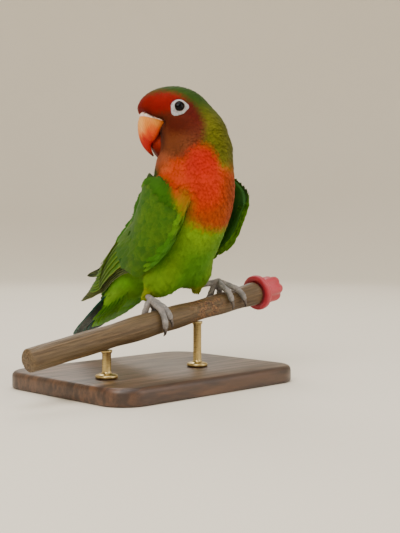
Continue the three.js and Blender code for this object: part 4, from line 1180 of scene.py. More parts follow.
def wing_pad():
    """The closed pad under the coverts: its places, faces and unwrap."""
    rows, columns = 44, 30
    p, q = np.meshgrid(np.linspace(-0.012, 0.5, rows), np.linspace(0.0, 1.0, columns), indexing="ij")
    place, out = wing_sheet.read(p, q)
    round_off = np.sqrt(np.maximum(1 - (2 * q - 1) ** 4, 0)) * eased(-0.03, 0.09, p)
    upper = place + out * (1.0 * round_off - 0.2)[..., None]
    lower = place - out * (1.8 + 1.0 * round_off)[..., None]
    flat = np.stack([0.02 + 0.46 * q, 0.02 + 0.9 * p / 0.5], -1).reshape(-1, 2)
    places = np.concatenate([upper.reshape(-1, 3), lower.reshape(-1, 3)])
    return places, plate_faces(rows, columns), np.concatenate([flat, flat + (0.5, 0)])


COVERT_ROWS = [  # from p, to p, rows, feathers in a row, length, width as a share of the form's, lift
    (0.015, 0.27, 13, 16, 6.0, 1.2, 0.13),
    (0.285, 0.325, 2, 13, 9.0, 1.0, 0.1),
    (0.355, 0.395, 2, 13, 13.5, 0.66, 0.075),
]


COVERT_RISE = {"over": 0.75, "sunk": 0.25}  # how the coverts' roots lie over the pad's middle surface


def covert_roots(low, high, rows, across, size):
    """Roots of a few rows of coverts, every other row shifted by half a feather: their places, ways
    out, lies, sizes and places on the unwrap."""
    made = []
    for r in range(rows):
        for k in range(across + 1):
            q = (k + 0.5 * (r % 2) + math.sin(r * 12.9 + k * 78.2) * 0.16) / across
            if not 0 <= q <= 1.0:
                continue
            p = low + (high - low) * r / max(rows - 1, 1) - 0.03 * (2 * q - 1) ** 2
            p += 0.004 * math.sin(r * 7.1 + k * 3.7)
            place, out = wing_sheet.read(p, q)
            ahead, _ = wing_sheet.read(p + 0.03, q + 0.004)
            rise = COVERT_RISE["over"] * math.sqrt(max(1 - (2 * q - 1) ** 4, 0)) - COVERT_RISE["sunk"]
            made.append((place + out * rise, out, unit(ahead - place),
                         size * (0.7 + 0.3 * float(eased(0.0, 0.12, p))),
                         (0.02 + 0.46 * q, 0.02 + 1.8 * p, 0)))
    return [np.array(v) for v in zip(*made)]


def feathers_on(name, places, outs, lies, sizes, flat, ink, **inputs):
    """Feathers on chosen roots, each with its way out, lie, length and place on the unwrap."""
    fields = {"out": outs, "lie": lies, "size": np.asarray(sizes) * MM, "root_map": flat}
    ground = ground_mesh(f"{name}_roots", places + PERCH_MIDDLE, [], fields)
    made = feathered(name, ground, ink, Rows=True, **inputs)
    bpy.data.objects.remove(ground)
    return made


wing_coat = ink = Finish("wing_coverts", 0.6, Specular_IOR_Level=0.16, Sheen_Weight=0.03)
tone = ink.known("tone", "Fac")
fine, _, out, along = barbs(ink, ink.known("patch"), tone, 2.4)
green = ink.mix(ink.ramp(tone, 0, 1), (44, 90, 1), (62, 102, 2))
green = ink.mix(ink.ramp(ink.speckle(ink.place(), 120.0, 3.0), 0.42, 0.64, 0, 0.5), green, (80, 112, 3))
rim = ink.count("MAXIMUM", ink.ramp(along, 0.36, 0.5), ink.ramp(ink.count("ABSOLUTE", out), 0.38, 0.5))
green = ink.mix(ink.count("MULTIPLY", rim, 0.55), green, (90, 122, 5))
green = ink.mix(ink.ramp(along, -0.1, 0.3, 0.3, 0), green, (30, 66, 3))
ink.paint(ink.mix(1.0, green, ink.ramp(fine, 0.3, 0.7, 0.8, 1.14), "MULTIPLY"))
feather_normal(ink, 0.62)

pad_finish = ink = Finish("wing_pad", 0.8, Specular_IOR_Level=0.2)
ink.paint(ink.mix(ink.speckle(ink.place(), 300.0), (26, 60, 8), (42, 88, 14)))

long_vanes = dict(zip(("secondary", "primary"), zip(wing_vanes(), (secondary_finish, primary_finish))))
pad_places, pad_faces, pad_map = wing_pad()
for side, place, flipped in WING_SIDES:
    pad = plate_piece(f"wing_pad_{side}", place(pad_places), pad_faces, pad_map, pad_finish, flipped)
    keep(pad, "wing_plumage", f"wing_{side}_coverts")
    for row, (*rows, wide, lift) in enumerate(COVERT_ROWS):
        spots, outs, lies, sizes, flat = covert_roots(*rows)
        coverts = feathers_on(f"wing_{side}_covert_row_{row}", place(spots), place(outs, True),
                              place(lies, True), sizes, flat, wing_coat, Forms=COVERT_FORMS, Width=wide,
                              Lift=lift, Stray=0.07, Seed=3 + row)
        keep(coverts, "wing_plumage", f"wing_{side}_coverts")
    for kind, (vanes, ink) in long_vanes.items():
        piece = vanes.made(f"wing_{side}_{kind}_vanes", ink, place, flipped)
        keep(piece, "wing_plumage", f"wing_{side}_{kind[:-1]}ies")


# Coat of the body
# Soft feathers in zones: very small and close on the face, small on the head, longer down the
# neck, breast and belly, and longest under the tail. None grow under the wings or in the eyes.

seam = np.concatenate([np.arange(sides), [0]])
coat_index = (np.arange(count)[:, None] * sides + seam[None]).ravel()
coat_faces = ring_faces(count, sides + 1, closed=False)
wing_p, wing_q = (v.ravel() for v in np.meshgrid(np.linspace(0, 0.9, 60), np.linspace(0, 1, 24),
                                                 indexing="ij"))
wing_spots, _ = wing_sheet.read(wing_p, wing_q)


def nearest_of(places):
    """A quick way to find which of some places is nearest to another."""
    made = KDTree(len(places))
    for i, place in enumerate(places):
        made.insert(place, i)
    made.balance()
    return made


under_wing = np.zeros(len(skin_places))
for spots in (wing_spots, to_left_wing(wing_spots)):
    near = nearest_of(spots)
    for i, place in enumerate(skin_places):
        _, found, distance = near.find(place)
        p, q = wing_p[found], wing_q[found]
        inner = min(q / 0.16, (1 - q) / 0.08, (p + 0.02) / 0.06) if distance < 12 else 0
        under_wing[i] = max(under_wing[i], min(max(inner, 0), 1))
in_gape = np.min([mass_distance(dent, skin_places) for dent in GAPES], 0)
bare = eased(0.0, 0.3, mass_distance(DENT, skin_places)) * eased(0.3, 0.6, in_gape)
bare = bare * eased(3.5, 3.8, off_eye) * (1 - eased(0.6, 0.95, under_wing))

FACE_REACH = {"bill": (17.5, 20.5), "eye": (7.5, 10.5)}  # how far the small face feathers go
NECK = {"foot": (62, 67), "top": (79, 83)}  # heights between which the neck's feathers begin and end
VENT = (27, 34)  # how far back the vent's feathers take over
face = 1 - eased(*FACE_REACH["bill"], off_bill) * eased(*FACE_REACH["eye"], off_eye)
leftward = eased(-0.8, 0.8, (skin_places - in_head(0, 0, 0)) @ HEAD_LEFT)
over_trunk, over_neck = (eased(*NECK[end], skin_places[:, 2]) for end in ("foot", "top"))
behind = eased(*VENT, skin_places[:, 1])
COAT_ZONES = [  # name, where, spacing, width, lift, stray
    ("face_left", face * leftward, 0.35, 1.0, 0.38, 0.12),
    ("face_right", face * (1 - leftward), 0.35, 1.0, 0.38, 0.12),
    ("head", over_neck * (1 - face), 0.44, 0.95, 0.4, 0.12),
    ("neck", over_trunk * (1 - over_neck) * (1 - face), 0.58, 0.9, 0.29, 0.09),
    ("trunk", (1 - over_trunk) * (1 - behind), 0.74, 0.9, 0.29, 0.09),
    ("vent", (1 - over_trunk) * behind, 0.9, 0.8, 0.3, 0.14),
]
fields = {"out": skin_out[coat_index], "lie": lie[coat_index], "size": feather_length[coat_index] * MM}
turns = np.tile(np.linspace(0, 1, sides + 1), count)
fields["root_map"] = np.concatenate([skin_map(np.repeat(skin_height, sides + 1), turns),
                                     np.zeros((len(turns), 1))], 1)
for name, where, *_ in COAT_ZONES:
    fields[f"cover_{name}"] = (where * bare)[coat_index]
coat_ground = ground_mesh("coat_ground", skin_places[coat_index] + PERCH_MIDDLE, coat_faces, fields)
for row, (name, _, spacing, width, lift, stray) in enumerate(COAT_ZONES):
    coat = feathered(f"coat_{name}", coat_ground, plumage, Spacing=spacing, Cover=f"cover_{name}",
                     Width=width, Lift=lift, Stray=stray, Seed=20 + row)
    keep(coat, "face_plumage" if name.startswith(("face", "head")) else "plumage", "head", "neck", "torso")
bpy.data.objects.remove(coat_ground)

nearest_skin = nearest_of(skin_places)


def rooted(name, places, outs, lies, sizes, **inputs):
    """Body feathers on chosen roots, with their patches where the skin's unwrap has the nearest place."""
    nearest = np.array([nearest_skin.find(v)[1] for v in places])
    spots = skin_map(skin_height[nearest // sides], (nearest % sides) / sides)
    return feathers_on(name, places, outs, lies, sizes, np.c_[spots, np.zeros(len(spots))], plumage, **inputs)


CAPE = [  # p and q where a row over a wing's front starts and ends, feathers, length, turn inwards, rise
    ((-0.035, 0.0), (-0.02, 0.86), 28, 6.2, 0.0, 0.8), ((-0.02, 0.0), (-0.005, 0.9), 32, 6.2, 0.0, 1.1),
    ((-0.002, 0.02), (0.012, 0.94), 34, 6.0, 0.0, 1.2),
    ((-0.02, -0.05), (0.34, -0.05), 52, 8.0, 0.3, 0.2), ((-0.02, -0.025), (0.32, -0.025), 48, 8.0, 0.25, 0.7),
    ((-0.01, 0.0), (0.28, -0.005), 42, 7.4, 0.16, 1.0), ((0.0, 0.02), (0.22, 0.01), 32, 6.4, 0.1, 1.4),
    ((0.05, 1.07), (0.6, 1.07), 76, 10.0, -0.42, -1.2), ((0.04, 1.03), (0.62, 1.04), 80, 9.6, -0.3, -0.4),
    ((0.025, 0.99), (0.5, 1.01), 66, 8.6, -0.2, 0.3), ((0.012, 0.95), (0.36, 0.97), 50, 7.6, -0.1, 0.9),
]
CAPE_SINK = 0.9  # how deep the cape's roots lie


def cape_roots():
    """The cape's places, ways out, lies and sizes on the right wing."""
    made = []
    for start, end, number, size, turn_in, rise in CAPE:
        for i in range(number):
            share = (i + 0.4 * math.sin(i * 12.9)) / (number - 1)
            p = start[0] + (end[0] - start[0]) * share + 0.004 * math.sin(i * 4.7)
            q = start[1] + (end[1] - start[1]) * share + 0.012 * math.sin(i * 8.3)
            spot, out = wing_sheet.read(p, q)
            ahead = unit(wing_sheet.read(p + 0.04, q)[0] - spot)
            inward = unit(wing_sheet.read(p, q + 0.05)[0] - spot)
            made.append((spot + out * (rise - CAPE_SINK), out, unit(ahead + inward * turn_in), size))
    return [np.array(v) for v in zip(*made)]


spots, outs, lies, sizes = cape_roots()
for side, place, _ in WING_SIDES:
    cape = rooted(f"coat_over_wing_{side}", place(spots), place(outs, True), place(lies, True), sizes,
                  Width=0.8, Lift=0.2, Stray=0.2, Seed=41)
    keep(cape, "plumage", "torso")

LEG_TUFT = {"rows": 17, "from": 0.1, "to": 0.86, "wide": (4.6, 1.9), "long": (5.0, 3.8), "crowd": 8,
            "flare": 0.25}


def tuft_roots(leg):
    """Rings of roots down a leg, from the thigh to the ankle, as places, ways out, lies and sizes."""
    shank, made = Curve(leg["tuft"]), []
    for r, t in enumerate(np.linspace(LEG_TUFT["from"], LEG_TUFT["to"], LEG_TUFT["rows"])):
        share = r / (LEG_TUFT["rows"] - 1)
        middle, along = shank.at(t), shank.along(t, 0.02)
        side = unit(np.cross(along, (1.0, 0, 0)))
        other = np.cross(along, side)
        radius, size = (a + (b - a) * share for a, b in (LEG_TUFT["wide"], LEG_TUFT["long"]))
        number = int(radius * LEG_TUFT["crowd"])
        for k in range(number):
            turn = 2 * math.pi * (k + 0.5 * (r % 2)) / number
            out = side * math.cos(turn) + other * math.sin(turn)
            made.append((middle + out * radius, unit(out + along * LEG_TUFT["flare"]), along, size))
    return [np.array(v) for v in zip(*made)]


for side, leg in LEGS.items():
    tuft = rooted(f"leg_tuft_{side}", *tuft_roots(leg), Width=0.75, Lift=0.1, Stray=0.25, Seed=51)
    keep(tuft, "plumage", f"thigh_{side}")
keep(skin, "plumage", "head", "neck", "torso", "thigh_left", "thigh_right", "tail_coverts")


# Tail
# Ten blunt feathers lie under one another from the middle outwards, dark with a blue-green outer
# edge and bars. Long soft green coverts hide their roots from above and below.

TAIL = {"root": (0, 43, 16.2), "dip": 38.4, "long": 54.5, "shorter": 12, "spread": 5.6, "sag": 0.018}
tail_dip = math.radians(TAIL["dip"])
TAIL_ALONG = np.array([0, math.cos(tail_dip), -math.sin(tail_dip)])
TAIL_UP = np.array([0, math.sin(tail_dip), math.cos(tail_dip)])


class TailSheet:
    """The tail's middle surface, with p along it and q across it in millimetres."""

    def read(self, p, q):
        p, q = (np.asarray(v, float)[..., None] for v in np.broadcast_arrays(p, q))
        side = np.array([1.0, 0, 0])
        place = np.array(TAIL["root"]) + TAIL_ALONG * p + side * q - TAIL_UP * TAIL["sag"] * q * q
        return place, unit(TAIL_UP + side * 2 * TAIL["sag"] * q)


tail_finish = vane_finish("tail_vane", (20, 44, 30), (24, 84, 70), (10, 12, 11), 0.3, 0.75, 0.46)
tail, tail_sheet = Vanes(), TailSheet()
for i in range(10):
    side = 1 if i % 2 else -1
    share = (i // 2 + 0.5) / 5
    depth = 0.75 - 2.3 * share - (0.35 if i == 1 else 0)
    root = (6, side * share * 3.6)
    tip = (TAIL["long"] - TAIL["shorter"] * share**1.6, side * share * TAIL["spread"])
    tail.add(tail_sheet, root, tip, 4.0, (depth, depth), tilt=0.3 * -side, thick=0.42, blunt=0.78,
             camber=0.03, bow=0.2 * side, tone=0.5 + 0.4 * math.sin(i * 3.1), cell=(0.1 * i, 0, 0.1, 1),
             leading=0.5 - 0.08 * side)
keep(tail.made("tail_vanes", tail_finish), "wing_plumage", "tail_feathers")

covert_finish = vane_finish("tail_covert_vane", (88, 160, 6), (112, 168, 9), (60, 120, 5), 0.36, 0.2, 0.6)
TAIL_COVERTS = [  # feathers, where they start, length, reach sideways, height at root and tip, half width
    (4, 4, 19.5, 3.6, 2.0, 2.3, 3.8), (4, 17, 22, 2.6, -3.4, -5.2, 3.2), (5, 13, 22, 4.2, -4.2, -7.4, 3.4),
    (6, 9, 22, 5.4, -5.0, -9.6, 3.6), (7, 5, 22, 6.2, -5.8, -11.2, 3.6), (7, 1, 22, 6.8, -6.6, -12.8, 3.6),
    (8, -3, 21, 7.2, -7.0, -14.0, 3.6), (8, -8, 20, 7.2, -7.0, -14.2, 3.6),
]
COVERT_SAG = 0.512  # how far a covert's tip hangs, as a share of its fall
COVERT_CELLS = 52  # columns of the coverts' unwrap, a few more than there are feathers
tail_coverts, cell = Vanes(), 0
for number, along, long, reach, low, height, half in TAIL_COVERTS:
    for i in range(number):
        q = 2 * i / (number - 1) - 1
        skew = 0.25 * math.sin(cell * 2.4)
        root, tip = (along, q * reach * 0.7 + skew), (along + long - 5 * q * q, q * reach + skew)
        lift = (low, height + skew * 0.6 + 1.6 * q * q * (low < 0))
        tail_coverts.add(tail_sheet, root, tip, half, lift, tilt=0.0, thick=0.5, blunt=0.45, camber=0.06,
                         bow=0.0, long=30, wide=8, tone=0.5 + 0.45 * math.sin(cell * 5.3),
                         cell=(cell / COVERT_CELLS, 0, 1 / COVERT_CELLS, 1),
                         droop=COVERT_SAG * min(height - low, 0))
        cell += 1
keep(tail_coverts.made("tail_covert_vanes", covert_finish), "plumage", "tail_coverts")


# Bill and cere
# A deep hooked bill, peach at the root and orange to red below, with a dark tip and fine growth
# lines. Down the front of the ridge a paler peach band is a painted highlight. The cere is a low
# pale band over its root with two round nostrils.

BILL_UPPER = [  # ridge forward and up, edge forward and up, half the width
    (6, 5.6, 0, -5, 7), (12, 4.6, 4, -5.4, 7), (15.3, 2.2, 6.4, -7.4, 6.3), (17.1, -1.2, 7.8, -9.8, 5.4),
    (17.5, -5, 9.4, -11.5, 4.4), (17.1, -9, 11.1, -12.4, 3.3), (15.7, -12.8, 11.7, -13.6, 2.1),
    (13.4, -15.8, 11.3, -15.2, 1.15), (11.2, -17.8, 10.6, -17.2, 0.35)]
BILL_LOWER = [(0, -7, 0, -15.5, 4.4), (6, -7, 4.5, -18, 4.6), (9, -7.8, 7.4, -18.9, 4),
              (10.9, -9.6, 9, -18, 3.1), (11.8, -11.8, 10.4, -15.6, 2.2), (11.9, -12.8, 11.4, -14, 0.9)]
CERE = {"place": (15, 0.6), "normal": (0.329, -0.944), "nostril": (14.9, 2.4, 3.4), "hole": 0.55, "deep": 1.1}


def smooth_rows(rows, steps):
    """Rows of numbers joined by smooth curves."""
    p = np.array(rows, float)
    p = np.vstack([2 * p[0] - p[1], p, 2 * p[-1] - p[-2]])
    made = []
    for a, b, c, d in zip(p, p[1:], p[2:], p[3:]):
        s = np.linspace(0, 1, steps, endpoint=False)[:, None]
        made.append(0.5 * (2 * b + (c - a) * s + (2 * a - 5 * b + 4 * c - d) * s**2
                           + (3 * b - a - 3 * c + d) * s**3))
    return np.vstack(made + [p[-2][None]])


def bill_rings(rows, steps, sides, grow=0.0, hollow=0.0):
    """Rings across a half of the bill, with a sharper edge on both lower sides."""
    turn, rings = around(sides), []
    for ridge_f, ridge_u, edge_f, edge_u, half in smooth_rows(rows, steps):
        top, bottom = in_head(ridge_f, 0, ridge_u), in_head(edge_f, 0, edge_u)
        middle, rise = (top + bottom) / 2, (top - bottom) / 2
        tall = np.linalg.norm(rise)
        c, s = np.cos(turn), np.sin(turn)
        across = np.sign(s) * np.abs(s) ** 0.92 * (1 - 0.18 * c) * (max(half, 0.1) + grow)
        up = c * (tall + grow) + hollow * tall * np.maximum(-c - 0.55, 0)
        rings.append(middle + up[:, None] * unit(rise) + across[:, None] * HEAD_LEFT)
    return np.array(rings)


def cut_piece(piece, place, normal):
    """Keeps the part of a closed piece that lies on a plane's far side, closed again."""
    made = bmesh.new()
    made.from_mesh(piece.data)
    geometry = made.verts[:] + made.edges[:] + made.faces[:]
    cut = bmesh.ops.bisect_plane(made, geom=geometry, plane_co=(place + PERCH_MIDDLE) * MM, plane_no=normal,
                                 clear_inner=True)
    edges = [e for e in cut["geom_cut"] if isinstance(e, bmesh.types.BMEdge)]
    bmesh.ops.holes_fill(made, edges=edges, sides=0)
    made.to_mesh(piece.data)
    made.free()
    return piece


def closed_loft(name, rings, ink, cell):
    """A closed lofted piece with an unwrap that runs round it and along it."""
    count, sides = rings.shape[:2]
    piece = mesh_piece(name, rings.reshape(-1, 3) + PERCH_MIDDLE, tube_faces(count, sides), ink)
    index = corner_vertices(piece.data)
    local = np.stack([(index % sides) / sides, (index // sides) / (count - 1)], -1)
    starts = np.repeat([p.loop_start for p in piece.data.polygons],
                       [p.loop_total for p in piece.data.polygons])
    wrapped = np.abs(local[:, 0] - local[starts, 0]) > 0.5
    local[wrapped, 0] += np.sign(local[starts[wrapped], 0] - 0.5)
    x, y, size_x, size_y = cell
    corner_map(piece.data, np.stack([x + size_x * local[:, 0], y + size_y * local[:, 1]], -1))
    return piece


def bill_finish(name, root, bands, lengthwise, gloss):
    """Horn that goes from its root's colour to the next ones down the bill, with growth lines across
    it. A band is a colour, where it begins and where it has taken over."""
    ink = Finish(name, 0.4, Specular_IOR_Level=gloss)
    local = ink.node("ShaderNodeMapping", {"vector_type": "TEXTURE"}, Vector=ink.place(), Scale=(MM, MM, MM),
                     Location=tuple((in_head(0, 0, 0) + PERCH_MIDDLE) * MM),
                     Rotation=tuple(patch_turn(HEAD_FRAME))).outputs[0]
    forward, _, up = ink.parts(local)
    wander = ink.ramp(ink.speckle(ink.stretch(local, (0.25, 0.9, 0.25)), 1.0, 3.0), 0.2, 0.8, -1.6, 1.6)
    down = ink.count("ADD", ink.count("MULTIPLY", up, -1.0), ink.count("MULTIPLY", forward, lengthwise))
    down = ink.count("ADD", down, wander)
    colour = root
    for band, low, high in bands:
        colour = ink.mix(ink.ramp(down, low, high), colour, band)
    # painted highlight: the front of the ridge is lightened towards pale peach, fading down the bill
    ridge = ink.count("MULTIPLY", ink.ramp(forward, 14.5, 16.8), ink.ramp(down, 2.0, 9.0, 0.5, 0))
    colour = ink.mix(ridge, colour, (236, 178, 104))
    lines = ink.node("ShaderNodeTexWave", {"wave_type": "RINGS", "rings_direction": "SPHERICAL"},
                     Vector=local, Scale=0.55, Distortion=3.0, Detail=3.0).outputs["Fac"]
    streaks = ink.speckle(ink.stretch(local, (0.5, 5.0, 0.5)), 1.0, 3.0, 0.6)
    lightness = ink.count("MULTIPLY", ink.ramp(lines, 0.1, 0.9, 0.93, 1.03),
                          ink.ramp(streaks, 0.3, 0.7, 0.9, 1.06))
    ink.paint(ink.mix(1.0, colour, lightness, "MULTIPLY"), ink.ramp(streaks, 0.3, 0.7, 0.34, 0.5))
    ink.bump(ink.count("ADD", lines, streaks), 0.00006, 0.35)
    return ink


upper_horn = bill_finish("upper_bill", (214, 134, 42), [((202, 68, 0), -1, 6.5), ((168, 16, 0), 5, 10),
                                                        ((74, 26, 12), 12, 17)], -0.1, 0.2)
lower_horn = bill_finish("lower_bill", (150, 48, 8), [((136, 28, 1), 7, 10.5), ((112, 18, 1), 10.5, 13.5),
                                                      ((88, 18, 6), 13.5, 17)], 0.0, 0.06)
upper = closed_loft("upper_horn", bill_rings(BILL_UPPER, 16, 96, hollow=0.5)[::-1], upper_horn,
                    (0.0, 0.0, 0.6, 1.0))
cut_place = in_head(CERE["place"][0], 0, CERE["place"][1])
cut_normal = unit(CERE["normal"][0] * HEAD_FORWARD + CERE["normal"][1] * HEAD_UP)
keep(cut_piece(upper, cut_place - cut_normal * 0.7, cut_normal), "bill", "bill_upper")
lower = closed_loft("lower_horn", bill_rings(BILL_LOWER, 16, 72)[::-1], lower_horn, (0.65, 0.0, 0.35, 0.6))
keep(lower, "bill", "bill_lower")

cere_rings = bill_rings(BILL_UPPER[:4], 40, 200, 0.05)
flat = cere_rings.reshape(-1, 3)
behind = -(flat - cut_place) @ cut_normal
swell = 0.42 * np.sqrt(np.clip((behind + 0.15) / 0.8, 0, 1)) * (1 - 0.35 * eased(1.0, 3.5, behind))
axis = flat - np.repeat(cere_rings.mean(1), cere_rings.shape[1], 0)
grain = np.array([noise.noise(Vector(v * 1.6)) for v in flat])
flat = flat + unit(axis) * (swell + 0.05 * grain)[:, None]
for side in (1, -1):
    hole = in_head(CERE["nostril"][0], CERE["nostril"][2] * side, CERE["nostril"][1])
    found = flat[np.argmin(np.linalg.norm(flat - hole, axis=1))]
    apart = np.linalg.norm(flat - found, axis=1) / CERE["hole"]
    rim = 0.2 * np.exp(-((apart - 1.5) / 0.5) ** 2)
    flat = flat + unit(axis) * (rim - CERE["deep"] * (1 - eased(0.6, 1.15, apart)))[:, None]
cere_skin = ink = Finish("cere_skin", 0.5, Subsurface_Weight=0.25, Subsurface_Scale=0.001)
mottle = ink.speckle(ink.place(), 700.0, 4.0, 0.6)
ink.paint(ink.mix(ink.ramp(mottle, 0.4, 0.65), (236, 220, 208), (222, 190, 178)),
          ink.ramp(mottle, 0.3, 0.7, 0.42, 0.6))
ink.bump(ink.speckle(ink.place(), 2600.0, 3.0), 0.00008, 0.5)
cere = closed_loft("cere_band", flat.reshape(cere_rings.shape)[::-1], cere_skin, (0.65, 0.65, 0.35, 0.35))
keep(cut_piece(cere, cut_place - cut_normal * 0.12, -cut_normal), "cere", "cere")


# Eyes
# Dark brown irises round wide black pupils, under a wet clear surface, in rings of bare white
# wrinkled skin that come to a point below in front and a smaller one behind.

RING = {"height": 3.3, "front": (-54, 1.2, 26), "rear": (183, 1.0, 22), "turns": 150, "rows": 40}
EYEBALL = {"sides": 64, "front_rings": 46, "back_rings": 26, "bulge": 0.07}
iris_skin = ink = Finish("wet_eye", 0.15, Specular_IOR_Level=0.05, Coat_Weight=0.14, Coat_Roughness=0.02)
off_middle, round_x, round_y = ink.parts(ink.known("iris"))
fibre_place = ink.node("ShaderNodeCombineXYZ", X=ink.count("MULTIPLY", round_x, 9.0),
                       Y=ink.count("MULTIPLY", round_y, 9.0), Z=off_middle).outputs[0]
fibre = ink.speckle(fibre_place, 1.0, 3.0)
iris = ink.mix(ink.ramp(fibre, 0.35, 0.65), (16, 8, 4), (34, 17, 8))
iris = ink.mix(ink.ramp(off_middle, 1.85, 2.3), iris, (16, 12, 10))
ink.paint(ink.mix(ink.ramp(off_middle, 1.7, 1.78), (2, 2, 3), iris))

lid_skin = ink = Finish("bare_eye_skin", 0.55, Subsurface_Weight=0.2, Subsurface_Scale=0.001)
ring_place = ink.place()
mottle = ink.speckle(ring_place, 900.0, 4.0, 0.6)
inward = ink.known("inward", "Fac")
white = ink.mix(ink.ramp(mottle, 0.4, 0.7), (176, 178, 180), (136, 132, 132))
white = ink.mix(ink.ramp(inward, 0.72, 0.92), white, (96, 84, 80))
ink.paint(ink.mix(ink.ramp(inward, 0.9, 1.0), white, (22, 18, 18)), ink.ramp(mottle, 0.3, 0.7, 0.5, 0.66))
ink.bump(ink.speckle(ring_place, 2400.0, 3.0, 0.6), 0.0001, 0.6)


def eyeball(side, word):
    """A ball with a fuller clear front. Each vertex knows how far it is from the iris's middle and its
    way round it."""
    _, out, centre = eye_place(side)
    forward = unit(HEAD_FORWARD - (HEAD_FORWARD @ out) * out)
    lean = np.concatenate([np.linspace(0.004, 0.9, EYEBALL["front_rings"]),
                           np.linspace(0.95, math.pi - 0.01, EYEBALL["back_rings"])])
    turn = around(EYEBALL["sides"])
    front = 1 + EYEBALL["bulge"] * np.exp(-(lean / 0.5) ** 2)
    way = (np.cos(lean)[:, None, None] * out + np.sin(lean)[:, None, None]
           * (np.cos(turn)[None, :, None] * forward + np.sin(turn)[None, :, None] * np.cross(out, forward)))
    rings = centre + way * (EYE["ball"] * front)[:, None, None]
    piece = closed_loft(f"eyeball_{word}", rings[::-1], iris_skin, (0, 0, 1, 1))
    off = np.repeat((EYE["ball"] * np.sin(lean))[::-1], len(turn))
    off[: EYEBALL["back_rings"] * len(turn)] = 9  # the ball's back has no pupil
    turns = np.tile(turn, len(lean))
    give(piece.data, "iris", np.stack([off, np.cos(turns), np.sin(turns)], -1))
    return piece


def eye_ring(side, word):
    """Bare skin that swells round the eye and is pleated towards it, closed behind."""
    place, out, _ = eye_place(side)
    forward = unit(HEAD_FORWARD - (HEAD_FORWARD @ out) * out)
    up = unit(HEAD_UP - (HEAD_UP @ out) * out)
    turn = around(RING["turns"])
    reach = np.full(len(turn), RING["height"])
    for centre, more, wide in (RING["front"], RING["rear"]):
        apart = (np.degrees(turn) - centre + 180) % 360 - 180
        reach = reach + more * np.exp(-(apart / wide) ** 2)
    reach = reach + 0.3 * np.cos(turn) ** 2 + 0.25 * (1 - np.sin(turn))
    opening = EYE["opening"] + 0.12 * np.exp(-(((np.degrees(turn) + 51 + 180) % 360 - 180) / 26) ** 2)
    rings, inward = [(reach - 0.1, np.full_like(turn, -2.4)),
                     (reach + 0.05, np.full_like(turn, -1.2))], [0, 0]
    for share in np.linspace(0, 1, RING["rows"]):
        r = reach + (opening - reach) * share
        pleat = 0.05 * np.sin(turn * 29 + 3 * np.sin(turn * 3)) * math.sin(math.pi * min(share * 1.15, 1))
        groove = 0.07 * np.sin(share * 15 + 0.8 * np.sin(turn * 5)) * (0.3 + 0.7 * share)
        rise = math.sqrt(max(1 - (1 - min(share / 0.35, 1)) ** 2, 0))
        dome = -0.35 + 0.75 * rise + 0.55 * math.exp(-((share - 0.82) / 0.16) ** 2)
        lip = -0.5 * max(0.0, share - 0.9) / 0.1
        rings.append((r, dome + lip + pleat + groove - r * r / 36))
        inward.append(share)
    edge = rings[-1][1]
    rings += [(opening - 0.02, edge - 0.35), (opening + 0.25, edge - 1.75)]
    inward += [1, 1]
    flat = np.cos(turn)[:, None] * forward + np.sin(turn)[:, None] * up
    placed = np.array([place + flat * r[:, None] + out * h[:, None] for r, h in rings])
    count, sides = placed.shape[:2]
    last = (count - 1) * sides
    faces = ring_faces(count, sides) + [(last + k, last + (k + 1) % sides, (k + 1) % sides, k)
                                        for k in range(sides)]
    if side > 0:
        faces = [f[::-1] for f in faces]
    piece = mesh_piece(f"eyelids_{word}", placed.reshape(-1, 3) + PERCH_MIDDLE, faces, lid_skin)
    give(piece.data, "inward", np.repeat(inward, sides))
    index = corner_vertices(piece.data)
    radius = 0.15 + 0.3 * (index // sides) / count
    turns = turn[index % sides]
    corner_map(piece.data, 0.5 + radius[:, None] * np.stack([np.cos(turns), np.sin(turns)], -1))
    return piece


for side, word in ((1, "left"), (-1, "right")):
    keep(eyeball(side, word), "eye", f"eye_{word}")
    keep(eye_ring(side, word), "bare_skin", f"eye_ring_{word}")


# Feet
# Each foot is a short bare shank and four grey toes, two forward and two back, with overlapping
# scutes above, pads and fine bumps below, and dark curved claws. Small tufts hide the ankles.

TOE = {"radius": 1.42, "clear": 0.3, "half": 1.38, "scute": 1.15, "step": 0.13, "sides": 36}
CLAW = {"long": 5.0, "rings": 34, "sides": 28, "sunk": 0.35}
TUBE_STEP = 0.16  # between the rings of a scaly tube
BACK_TOES = 2  # the last two toes of a foot go back


def toe_path(leg, index):
    """A toe's middle line, from the foot's hub over the perch and round it."""
    back = 1 if index >= len(leg["toes"]) - BACK_TOES else -1
    end, to = leg["toes"][index]
    start = leg["hub"][0] / PERCH_ALONG[0]

    def near(share, angle, extra):
        t = start + (end - start) * share
        return near_perch(t, float(perch_radius(t)) + PERCH["bump"] + TOE["clear"] + TOE["half"] + extra,
                          angle, back)

    over = near(0.35, 62, 2.2) if back > 0 else near(0.4, 86, 1.4)
    return Curve([leg["hub"], over, near(0.75, 48, 0.5), near(0.95, 48 + (to - 48) * 0.6, 0), near(1, to, 0)])


def away_from_perch(places):
    """The way straight out from the perch's axis."""
    along = places @ PERCH_ALONG
    return unit(places - along[:, None] * PERCH_ALONG)


